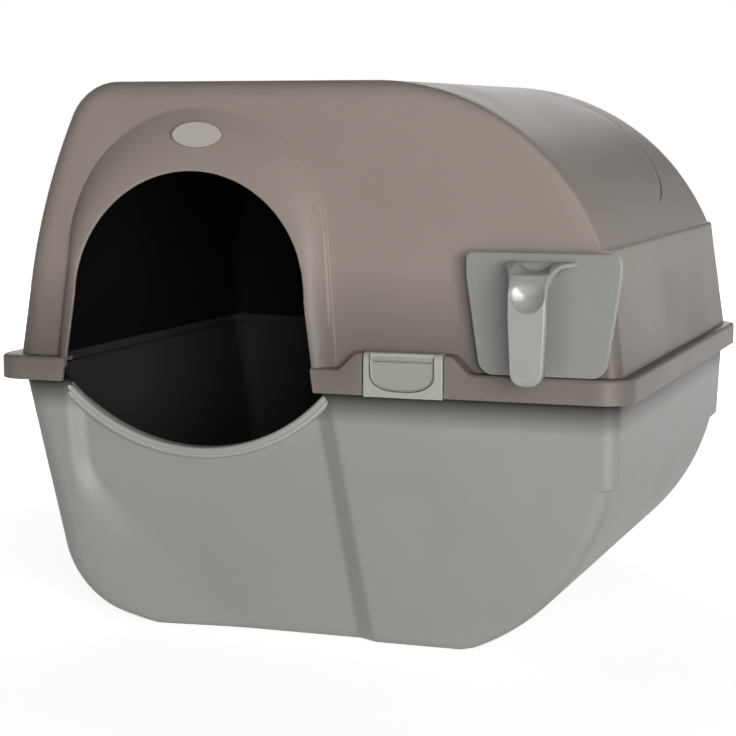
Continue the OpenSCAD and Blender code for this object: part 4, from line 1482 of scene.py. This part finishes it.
@dataclass
class RimClip:
    """A clip that holds the cover down: a face plate with a finger pad in a thin raised frame."""

    side: Side
    rim: Rim
    thickness: float = 5.5
    top_in: float = 11.5
    pad_foot: float = 6.4
    pad_in: float = 7.5
    pad_side_z: float = 14.0
    pad_depth: float = 2.6
    foot_power: float = 0.8
    ridge_w: float = 2.0
    ridge_h: float = 1.4
    shoulder_r: float = 4.6
    pin_in: float = 6.5
    pin_up: float = 4.0
    bore_r: float = 1.56
    proud: float = 1.5
    hook_t: float = 3.0
    root: tuple[float, float, float] = (9.5, 1.2, 9.0)

    def build(self) -> bpy.types.Object:
        """Builds the clip in front of the box and turns it to its place.

        Returns:
            The finished piece.
        """
        low, high = node_box(self.side.value)
        x, y, turn = self.rim.clip_place(self.side)
        half, z0, z1 = self.rim.clip_half(self.side), low[2], high[2]
        front, hook_in = self.ridge_h - self.proud, self.top_in - self.proud
        root_in, root_low, root_high = self.root
        piece = Modeller.box(self.side.value + "_plate", (-half, front, z0),
                             (half, self.thickness - self.proud, z1))
        hook = Modeller.box("hook", (-half, 1, z1 - self.hook_t), (half, hook_in, z1))
        Modeller.combine(piece, hook, "UNION")
        root = Modeller.box("root", (-half, 1, z0 + root_low), (half, root_in, z0 + root_high))
        Modeller.combine(piece, root, "UNION")

        def at_top(edge: bmesh.types.BMEdge) -> bool:
            """Whether an edge lies along the top of the face."""
            return all(v.co.z > (z1 - 0.01) * MM and v.co.y < (front + 0.01) * MM for v in edge.verts)

        def on_frame(edge: bmesh.types.BMEdge) -> bool:
            """Whether an edge lies on the front of the raised frame."""
            return all(abs(v.co.y - (front - self.ridge_h) * MM) < 1e-5 for v in edge.verts)

        Modeller.bevel(piece, self.shoulder_r, 6, at_top)
        Modeller.bevel(piece, 0.7, 3, lambda e: len(e.link_faces) == 2 and e.calc_face_angle() > 1.0)
        floor = front + self.pad_depth - self.ridge_h
        frame_block = self.pad_block(half, front, z0, z1, self.ridge_w, -self.ridge_h, 2.0)
        Modeller.combine(piece, frame_block, "UNION")
        Modeller.combine(piece, self.pad_block(half, front, z0, z1, 0.0, -10.0, floor - front), "DIFFERENCE")
        Modeller.bevel(piece, 0.6, 3, on_frame)
        bar_half = half - self.pad_in + 0.5
        for bar, low_z, high_z, out in (("top_bar", z1 - 3.6, z1 - 0.1, floor - front + 0.4),
                                        ("pad_bar", z1 - 8.2, z1 - 6.0, 1.7)):
            block = Modeller.box(bar, (-bar_half, floor - out, low_z), (bar_half, floor + 2.0, high_z))
            Modeller.bevel(block, 0.85, 3, lambda e: all(v.co.y < floor * MM for v in e.verts))
            Modeller.combine(piece, block, "UNION")
        centre = (0.0, self.pin_in, self.rim.under_z + self.pin_up)
        Modeller.combine(piece, Modeller.rod("bore", centre, self.bore_r, 2 * half + 4.0), "DIFFERENCE")
        Modeller.margin(piece, 0.4, lambda f: f.normal.y < -0.99 and f.calc_area() > 2e-5)
        # The pad's floor gets the darker finish: painted shade in the recess.
        piece.data.materials.clear()
        for finish in (CLIP, PAD_PAINTED_SHADE):
            piece.data.materials.append(finish.material())
        for polygon in piece.data.polygons:
            on_floor = abs(polygon.center.y - floor * MM) < 1e-5
            polygon.material_index = int(on_floor and polygon.normal.y < -0.99)
        Modeller.shade(piece, 35.0)
        Modeller.choose(piece)
        piece.rotation_euler = (0.0, 0.0, math.radians(turn))
        piece.location = Vector((x, y, 0.0)) * MM
        bpy.ops.object.transform_apply(location=True, rotation=True, scale=True)
        return piece

    def pad_block(self, half: float, front: float, z0: float, z1: float, grow: float, near: float,
                  deep: float) -> bpy.types.Object:
        """A block with the pad's outline: straight sides, a round foot, open at the top.

        Args:
            half: Half the clip's width.
            front: y of the clip's face.
            z0: The clip's foot.
            z1: The clip's top.
            grow: How much wider than the pad the block is.
            near: Where the block starts, from the face.
            deep: Where it ends, from the face.

        Returns:
            The block.
        """
        reach, rise = half - self.pad_in + grow, self.pad_side_z + grow
        base = z0 + self.pad_foot - grow
        points = []
        for i in range(41):
            a = math.pi * i / 40
            share = abs(math.cos(a)) ** self.foot_power
            x = -reach * share if a < math.pi / 2 else reach * share
            points.append((x, base + rise * (1.0 - abs(math.sin(a)) ** self.foot_power)))
        top = z1 - 1.2 if near > -5 else z1 + 5
        points += [(reach, top), (-reach, top)]
        count = len(points)
        ring = np.array([[x, front + y, z] for y in (near, deep) for x, z in points])
        faces = [list(range(count)), list(range(2 * count - 1, count - 1, -1))]
        faces += [[i, i + count, (i + 1) % count + count, (i + 1) % count] for i in range(count)]
        return Modeller.outward(Modeller.mesh("pad", ring, faces))


@dataclass
class Badge:
    """The blank oval badge on the hood."""

    cover: CoverShell
    length: float = 44.0
    height: float = 21.1
    thickness: float = 1.6

    def build(self) -> bpy.types.Object:
        """Builds the badge: a disc, squeezed oval, raised, with a thin rim round a sunk field.

        Returns:
            The finished piece.
        """
        low, high = node_box("badge_plate")
        middle = (low + high) / 2
        piece = Modeller.disc("badge", (0, 0, 0), self.length / 2, 64)
        Modeller.select(piece, "FACE", lambda f: True)
        bpy.ops.transform.resize(value=(1, 1, self.height / self.length))
        bpy.ops.mesh.extrude_region_move(TRANSFORM_OT_translate={"value": (0, -self.thickness * MM, 0)})
        bpy.ops.object.mode_set(mode="OBJECT")
        Modeller.outward(piece)
        front = -self.thickness * MM
        Modeller.bevel(piece, 0.5, 3, lambda e: all(abs(v.co.y - front) < 1e-5 for v in e.verts))
        Modeller.select(piece, "FACE", lambda f: f.normal.y < -0.99 and f.calc_area() > 1e-5)
        bpy.ops.mesh.inset(thickness=1.2 * MM, depth=0.0)
        bpy.ops.mesh.inset(thickness=0.4 * MM, depth=-0.35 * MM)
        bpy.ops.object.mode_set(mode="OBJECT")
        Modeller.shade(piece, 35.0)
        Modeller.choose(piece)
        piece.rotation_euler = (math.radians(-self.cover.front_lean), 0.0, 0.0)
        piece.location = Vector((middle[0], high[1] - 0.2, middle[2])) * MM
        bpy.ops.object.transform_apply(location=True, rotation=True, scale=True)
        return piece


def linear(code: str) -> tuple[float, float, float, float]:
    """A colour from its web code.

    Args:
        code: Six hex digits.

    Returns:
        Linear red, green, blue and 1.
    """
    parts = [int(code[i:i + 2], 16) / 255 for i in (0, 2, 4)]
    return tuple(c / 12.92 if c <= 0.04045 else ((c + 0.055) / 1.055) ** 2.4 for c in parts) + (1.0,)


class Graph:
    """Adds nodes to a tree and joins them."""

    def __init__(self, tree: bpy.types.NodeTree) -> None:
        """Works on one tree."""
        self.tree = tree

    def put(self, socket: bpy.types.NodeSocket, value: object) -> None:
        """Links an input to another node's socket, or sets its value."""
        if isinstance(value, bpy.types.NodeSocket):
            self.tree.links.new(value, socket)
        else:
            socket.default_value = value

    def add(self, kind: str, inputs: dict[str | int, object] | None = None,
            **settings: object) -> bpy.types.Node:
        """Adds a node.

        Args:
            kind: The node's type.
            inputs: Values for its inputs, or the sockets that feed them.
            settings: Its settings.

        Returns:
            The node.
        """
        node = self.tree.nodes.new(kind)
        for key, value in settings.items():
            setattr(node, key, value)
        for key, value in (inputs or {}).items():
            self.put(node.inputs[key], value)
        return node

    def math(self, operation: str, *values: object) -> bpy.types.NodeSocket:
        """Calculates with numbers or sockets."""
        return self.add("ShaderNodeMath", dict(enumerate(values)), operation=operation).outputs[0]

    def noise(self, place: bpy.types.NodeSocket, scale: object, detail: float,
              roughness: float = 0.5) -> bpy.types.NodeSocket:
        """A cloudy noise around a half."""
        inputs = {"Vector": place, "Scale": scale, "Detail": detail, "Roughness": roughness}
        return self.add("ShaderNodeTexNoise", inputs).outputs[0]

    def remap(self, value: bpy.types.NodeSocket, start: object = 0.0, stop: object = 1.0,
              low: float = 0.0, high: float = 1.0) -> bpy.types.NodeSocket:
        """Maps a value from start and stop to low and high, and no further."""
        inputs = {"Value": value, "From Min": start, "From Max": stop, "To Min": low, "To Max": high}
        return self.add("ShaderNodeMapRange", inputs).outputs["Result"]

    def mix(self, mask: bpy.types.NodeSocket, first: object, second: object) -> bpy.types.NodeSocket:
        """Mixes two colours or sockets by a mask."""
        node = self.add("ShaderNodeMix", {"Factor": mask}, data_type="RGBA")
        for key, value in (("A", first), ("B", second)):
            self.put(next(s for s in node.inputs if s.name == key and s.type == "RGBA"), value)
        return next(s for s in node.outputs if s.type == "RGBA")

    def group(self, tree: bpy.types.NodeTree, **inputs: object) -> Sequence[bpy.types.NodeSocket]:
        """Places a shared group with its own values, and gives its outputs."""
        return self.add("ShaderNodeGroup", inputs, node_tree=tree).outputs


class NodeGroups:
    """Shared effects: grain, cloudiness, a height level that paints shade, and scuffed edges that also paint
    a highlight, each built once.
    """

    @staticmethod
    def start(name: str, values: dict[str, float],
              outputs: Sequence[str]) -> tuple[Graph, Sequence[bpy.types.NodeSocket]]:
        """Starts a node group with a place and some numbers as inputs.

        Args:
            name: The group's name.
            values: The numbers' names and usual values.
            outputs: The names of what it gives out.

        Returns:
            The group's graph, and the sockets that bring its inputs.
        """
        tree = bpy.data.node_groups.new(name, "ShaderNodeTree")
        sockets = tree.interface
        sockets.new_socket(name="Vector", in_out="INPUT", socket_type="NodeSocketVector")
        for key, value in values.items():
            socket = sockets.new_socket(name=key, in_out="INPUT", socket_type="NodeSocketFloat")
            socket.default_value = value
        for key in outputs:
            sockets.new_socket(name=key, in_out="OUTPUT", socket_type="NodeSocketFloat")
        graph = Graph(tree)
        return graph, graph.add("NodeGroupInput").outputs

    @staticmethod
    @cache
    def grain() -> bpy.types.NodeTree:
        """Fine pebbled grain of a moulded surface: a height, and flecks."""
        graph, into = NodeGroups.start("Moulded grain", {"Scale": 900.0}, ("Height", "Fleck"))
        place, scale = into["Vector"], into["Scale"]
        cells = graph.add("ShaderNodeTexVoronoi", {"Vector": place, "Scale": scale, "Smoothness": 0.6},
                          feature="SMOOTH_F1").outputs["Distance"]
        noise = graph.noise(place, graph.math("MULTIPLY", scale, 0.45), 3.0)
        height = graph.math("MULTIPLY_ADD", cells, 0.6, noise)
        graph.add("NodeGroupOutput", {"Height": height, "Fleck": noise})
        return graph.tree

    @staticmethod
    @cache
    def cloud() -> bpy.types.NodeTree:
        """Slow variation over a surface: a mask around a half."""
        graph, into = NodeGroups.start("Cloudiness", {"Scale": 9.0}, ("Mask",))
        noise = graph.noise(into["Vector"], into["Scale"], 5.0, 0.55)
        graph.add("NodeGroupOutput", {"Mask": graph.remap(noise, 0.3, 0.7)})
        return graph.tree

    @staticmethod
    @cache
    def level() -> bpy.types.NodeTree:
        """A mask that grows from one height to another; it places painted shade."""
        values = {"From": 0.0, "To": 1.0, "Power": 1.0}
        graph, into = NodeGroups.start("Painted shade level", values, ("Mask",))
        height = graph.add("ShaderNodeSeparateXYZ", {0: into["Vector"]}).outputs["Z"]
        share = graph.remap(height, into["From"], into["To"])
        graph.add("NodeGroupOutput", {"Mask": graph.math("POWER", share, into["Power"])})
        return graph.tree

    @staticmethod
    @cache
    def wear_and_highlight() -> bpy.types.NodeTree:
        """Rubbed convex edges that also paint a highlight along them: a mask, broken up by noise."""
        graph, into = NodeGroups.start("Edge wear", {"Start": 0.505, "End": 0.57}, ("Mask",))
        edge = graph.add("ShaderNodeNewGeometry").outputs["Pointiness"]
        noise = graph.noise(into["Vector"], 120.0, 3.0)
        mask = graph.math("MULTIPLY", graph.remap(edge, into["Start"], into["End"]), noise)
        graph.add("NodeGroupOutput", {"Mask": mask})
        return graph.tree


@dataclass(frozen=True)
class Finish:
    """One material: its colours, gloss, grain, scuffed edges that also paint a highlight, and painted shade
    by height.
    """

    name: str
    light: str
    dark: str
    worn_and_highlighted: str
    roughness: float
    rough_spread: float = 0.08
    grain_scale: float = 900.0
    grain_depth: float = 0.00005
    cloud_scale: float = 9.0
    wear_and_highlight: float = 0.35
    wear_and_highlight_from: float = 0.53
    wear_and_highlight_to: float = 0.62
    metallic: float = 0.0
    specular: float = 0.5
    coat: float = 0.0
    # shade_from, shade_to, shade, shade_power and shade_gloss paint shade: between two heights the colour
    # darkens toward black, and shade_gloss takes the gloss away with it.
    shade_from: float = 0.0
    shade_to: float = 0.0
    shade: float = 0.0
    shade_power: float = 1.0
    shade_gloss: float = 0.0
    fleck: float = 0.12

    def material(self) -> bpy.types.Material:
        """Builds the material, or finds it when it is already there.

        Returns:
            The material, with its nodes.
        """
        made = bpy.data.materials.get(self.name)
        if made:
            return made
        made = bpy.data.materials.new(self.name)
        made.use_nodes = True
        graph = Graph(made.node_tree)
        place = graph.add("ShaderNodeTexCoord").outputs["Object"]
        cloud = graph.group(NodeGroups.cloud(), Vector=place, Scale=self.cloud_scale)["Mask"]
        grain = graph.group(NodeGroups.grain(), Vector=place, Scale=self.grain_scale)
        worn_and_highlighted = graph.group(NodeGroups.wear_and_highlight(), Vector=place, Start=self.wear_and_highlight_from, End=self.wear_and_highlight_to)["Mask"]
        dark, specular, spread = linear(self.dark), self.specular, self.rough_spread / 2
        colour = graph.mix(cloud, dark, linear(self.light))
        colour = graph.mix(graph.math("MULTIPLY", grain["Fleck"], self.fleck), colour, dark)
        # Scuffed edges are lightened, and the same lightening paints a highlight along them.
        colour = graph.mix(graph.math("MULTIPLY", worn_and_highlighted, self.wear_and_highlight), colour, linear(self.worn_and_highlighted))
        # Painted shade: between two heights the colour is mixed toward black and the specular level is
        # lowered.
        if self.shade:
            level = graph.group(NodeGroups.level(), Vector=place, From=self.shade_from, To=self.shade_to,
                                Power=self.shade_power)["Mask"]
            colour = graph.mix(graph.math("MULTIPLY", level, self.shade), colour, BLACK)
            specular = graph.remap(level, low=specular, high=specular * (1.0 - self.shade_gloss))
        rough = graph.remap(cloud, low=self.roughness - spread, high=self.roughness + spread)
        bump = graph.add("ShaderNodeBump", {"Strength": 0.6, "Distance": self.grain_depth,
                                            "Height": grain["Height"]})
        shader = made.node_tree.nodes["Principled BSDF"]
        for key, value in {"Base Color": colour, "Roughness": rough, "Normal": bump.outputs["Normal"],
                           "Metallic": self.metallic, "Specular IOR Level": specular,
                           "Coat Weight": self.coat}.items():
            graph.put(shader.inputs[key], value)
        return made


# Painted shade: the taupe darkens by up to 45 % from 315 mm down to 245 mm and below, toward the band.
TAUPE = Finish("Taupe plastic", "988C84", "92877F", "BBB2AB", roughness=0.5, grain_scale=600.0,
               grain_depth=0.0001, specular=0.36, fleck=0.7, wear_and_highlight=0.6, wear_and_highlight_from=0.508, wear_and_highlight_to=0.57,
               shade_from=0.315, shade_to=0.245, shade=0.45, shade_power=0.8)
# Painted shadow: the grey darkens almost to black and loses its gloss from 188 mm up to 216 mm, under the
# band's overhang, and stays so above, on the flange and collar.
GREY = Finish("Grey plastic", "959690", "90918B", "AAABA5", roughness=0.5, grain_depth=0.00004, specular=0.8,
              shade_from=0.188, shade_to=0.216, shade=0.98, shade_gloss=1.0)
# A lighter, glossier grey for the lip under the doorway.
LIGHTER_LIP = Finish("Lighter lip grey plastic", "ACADA7", "A6A7A1", "BFC0BA", roughness=0.36, grain_depth=0.00003)
# Painted shade: the handle's pale plastic made darker, for the shade that the handle throws on the plate.
PLATE_PAINTED_SHADE = Finish("Pale plastic with painted shade", "8B8E89", "868984", "CFD2CC", roughness=0.26, rough_spread=0.05,
               grain_scale=1500.0, grain_depth=0.00002, wear_and_highlight=0.45, wear_and_highlight_from=0.52, wear_and_highlight_to=0.58)
PALE = Finish("Pale plastic", "9A9D97", "949791", "D4D6D0", roughness=0.21, rough_spread=0.04,
              grain_scale=1500.0, grain_depth=0.00002, specular=0.8, wear_and_highlight=0.9, wear_and_highlight_from=0.52, wear_and_highlight_to=0.58)
CLIP = Finish("Pale clip plastic", "A9ABA0", "A3A59A", "D8DACF", roughness=0.26, rough_spread=0.05,
              grain_scale=1500.0, grain_depth=0.00002, wear_and_highlight=0.6, wear_and_highlight_from=0.52, wear_and_highlight_to=0.58)
# Painted shade: the clip's plastic made darker, for the shade in the finger pad's recess.
PAD_PAINTED_SHADE = Finish("Finger pad plastic with painted shade", "9A9D91", "94978B", "B4B6AB", roughness=0.32, rough_spread=0.05,
             grain_scale=1500.0, grain_depth=0.00002)
SCREEN = Finish("Screen plastic", "8C8E87", "84867F", "9FA19A", roughness=0.5)
# Painted shade: dark colours for the insides of the shells and the collar, where the box is in shade.
SHADED = Finish("Shaded inside", "161716", "121312", "1C1D1C", roughness=0.7, specular=0.06)
SHADED_GREY = Finish("Shaded grey inside", "3B3C3B", "363736", "424342", roughness=0.7, specular=0.1)
BADGE = Finish("Badge plastic", "B9B4AA", "B1ACA2", "D2CEC6", roughness=0.24, rough_spread=0.05,
               grain_scale=2200.0, grain_depth=0.00001, coat=0.3)
STEEL = Finish("Bright steel", "B8B9BA", "A8A9AA", "D0D0D0", roughness=0.3, metallic=1.0,
               grain_scale=1800.0, grain_depth=0.00001)


def dress(piece: bpy.types.Object, finish: Finish, slot: Slot, body: str | None = None,
          *nodes: str) -> bpy.types.Object:
    """Gives a piece its finish, and where it is new, its body and the nodes it stands for.

    Args:
        piece: The piece.
        finish: Its finish.
        slot: The record's slot; not used.
        body: The body that it rides on; none for a CAD node.
        nodes: The CAD nodes that it replaces.

    Returns:
        The piece.
    """
    if finish.name not in piece.data.materials:
        piece.data.materials.clear()
        piece.data.materials.append(finish.material())
    if body:
        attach(piece, body)
        if nodes:
            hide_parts(*nodes)
    triangles = sum(len(p.vertices) - 2 for p in piece.data.polygons)
    log.info("%s: %s, %d triangles", piece.name, finish.name, triangles)
    return piece


@dataclass
class Studio:
    """Camera, lights, floor and background."""

    lens: float = 99.19
    camera_at: tuple[float, float, float] = (0.60493, -1.79367, 0.43696)
    target: tuple[float, float, float] = (-0.02601, 0.0, 0.20474)
    ambient: float = 0.062
    reflected: float = 0.22

    def build(self) -> None:
        """Sets up everything around the object."""
        self.camera()
        self.lamps()
        self.floor()
        self.background()
        bpy.context.scene.view_settings.view_transform = "Standard"

    def camera(self) -> None:
        """Places the camera at the photograph's viewing angle."""
        data = bpy.data.cameras.new("camera")
        data.lens = self.lens
        data.sensor_width = 36.0
        camera = bpy.data.objects.new("camera", data)
        bpy.context.scene.collection.objects.link(camera)
        camera.location = self.camera_at
        camera.rotation_mode = "QUATERNION"
        camera.rotation_quaternion = (Vector(self.target) - Vector(self.camera_at)).to_track_quat("-Z", "Y")
        bpy.context.scene.camera = camera

    @staticmethod
    def lamp(name: str, place: Sequence[float], size: float, power: float) -> None:
        """Adds a soft square lamp that faces the box.

        Args:
            name: The lamp's name.
            place: Where it stands, in metres.
            size: Its side, in metres.
            power: Its power, in watts.
        """
        data = bpy.data.lights.new(name, "AREA")
        data.size = size
        data.energy = power
        lamp = bpy.data.objects.new(name, data)
        bpy.context.scene.collection.objects.link(lamp)
        lamp.location = place
        aim = Vector((0.0, 0.0, 0.22)) - Vector(place)
        lamp.rotation_mode = "QUATERNION"
        lamp.rotation_quaternion = aim.to_track_quat("-Z", "Y")

    def lamps(self) -> None:
        """A broad lamp at the right front, a weaker one in front and three behind."""
        self.lamp("key", (1.75, -2.85, 0.5), 1.5, 88.0)
        self.lamp("front", (0.8, -3.4, 0.6), 1.6, 14.0)
        self.lamp("rear", (-0.8, 3.2, 1.0), 1.8, 36.0)
        self.lamp("rear_left", (-2.4, 2.4, 0.9), 1.6, 22.0)
        self.lamp("rear_right", (1.7, 2.8, 0.7), 1.8, 13.0)

    def floor(self) -> None:
        """A plain pale floor that keeps the object's shadow."""
        Modeller.deselect()
        bpy.ops.mesh.primitive_plane_add(size=30.0, location=(0, 0, 0))
        plane = bpy.context.object
        plane.name = "floor"
        made = bpy.data.materials.new("Pale floor")
        made.use_nodes = True
        made.node_tree.nodes.clear()
        graph = Graph(made.node_tree)
        ray = graph.add("ShaderNodeLightPath").outputs
        seen = graph.math("MAXIMUM", ray["Is Camera Ray"], ray["Is Glossy Ray"])
        place = graph.add("ShaderNodeTexCoord").outputs["Object"]
        away = graph.add("ShaderNodeVectorMath", {0: place}, operation="LENGTH").outputs["Value"]
        strength = graph.math("MULTIPLY", seen, graph.remap(away, 0.5, 1.6, 0.74, 1.1))
        diffuse = graph.add("ShaderNodeBsdfDiffuse", {"Color": (0.82, 0.82, 0.82, 1.0)}).outputs[0]
        glow = graph.add("ShaderNodeEmission", {"Strength": strength}).outputs[0]
        both = graph.add("ShaderNodeAddShader", {0: diffuse, 1: glow}).outputs[0]
        graph.add("ShaderNodeOutputMaterial", {"Surface": both})
        plane.data.materials.append(made)

    def background(self) -> None:
        """White to the camera, pale to reflections, and a soft even light otherwise."""
        world = bpy.data.worlds.new("studio")
        bpy.context.scene.world = world
        world.use_nodes = True
        world.node_tree.nodes.clear()
        graph = Graph(world.node_tree)
        ray = graph.add("ShaderNodeLightPath").outputs
        seen = graph.math("MAXIMUM", ray["Is Camera Ray"], ray["Is Transmission Ray"])
        level = graph.remap(ray["Is Glossy Ray"], low=self.ambient, high=self.reflected)
        plain = graph.add("ShaderNodeBackground", {"Color": WHITE, "Strength": level}).outputs[0]
        white = graph.add("ShaderNodeBackground", {"Color": WHITE}).outputs[0]
        shown = graph.add("ShaderNodeMixShader", {0: seen, 1: plain, 2: white}).outputs[0]
        graph.add("ShaderNodeOutputWorld", {"Surface": shown})


def main() -> None:
    """Builds every piece in order and sets up the studio."""
    logging.basicConfig(level=logging.INFO, format="%(name)s: %(message)s")
    low, high = node_box("cover_shell")
    rim = Rim(width=high[0] - low[0], depth=high[1] - low[1], under_z=low[2], ledge_z=low[2] + BAND_H)
    door = Entrance()
    cover = CoverShell(rim, door, top_z=high[2])
    dress(cover.build(), TAUPE, Slot.TAUPE, "cover", "cover_shell")
    dress(BaseTub(rim, door, cover).build(), GREY, Slot.GREY, "base", "base_tub")
    tray = WasteTrayFront()
    dress(tray.plate(), PLATE_PAINTED_SHADE, Slot.PALE, "waste_tray", "tray_front_plate")
    dress(tray.handle(), PALE, Slot.PALE, "waste_tray", "tray_handle")
    for side in Side:
        dress(RimClip(side, rim).build(), CLIP, Slot.PALE, side.value, side.value)
    dress(Badge(cover).build(), BADGE, Slot.BADGE, "cover", "badge_plate")
    screen, steel = (SCREEN, Slot.SCREEN), (STEEL, Slot.STEEL)
    plain = {"waste_tray": (PALE, Slot.PALE), "sifting_screen": screen, "tray_rail_left": screen,
             "tray_rail_right": screen, "mounting_screws": steel, "clip_hinge_pins": steel}
    for name, (finish, slot) in plain.items():
        dress(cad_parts[name], finish, slot)
    Studio().build()


if __name__ == "__main__":
    main()
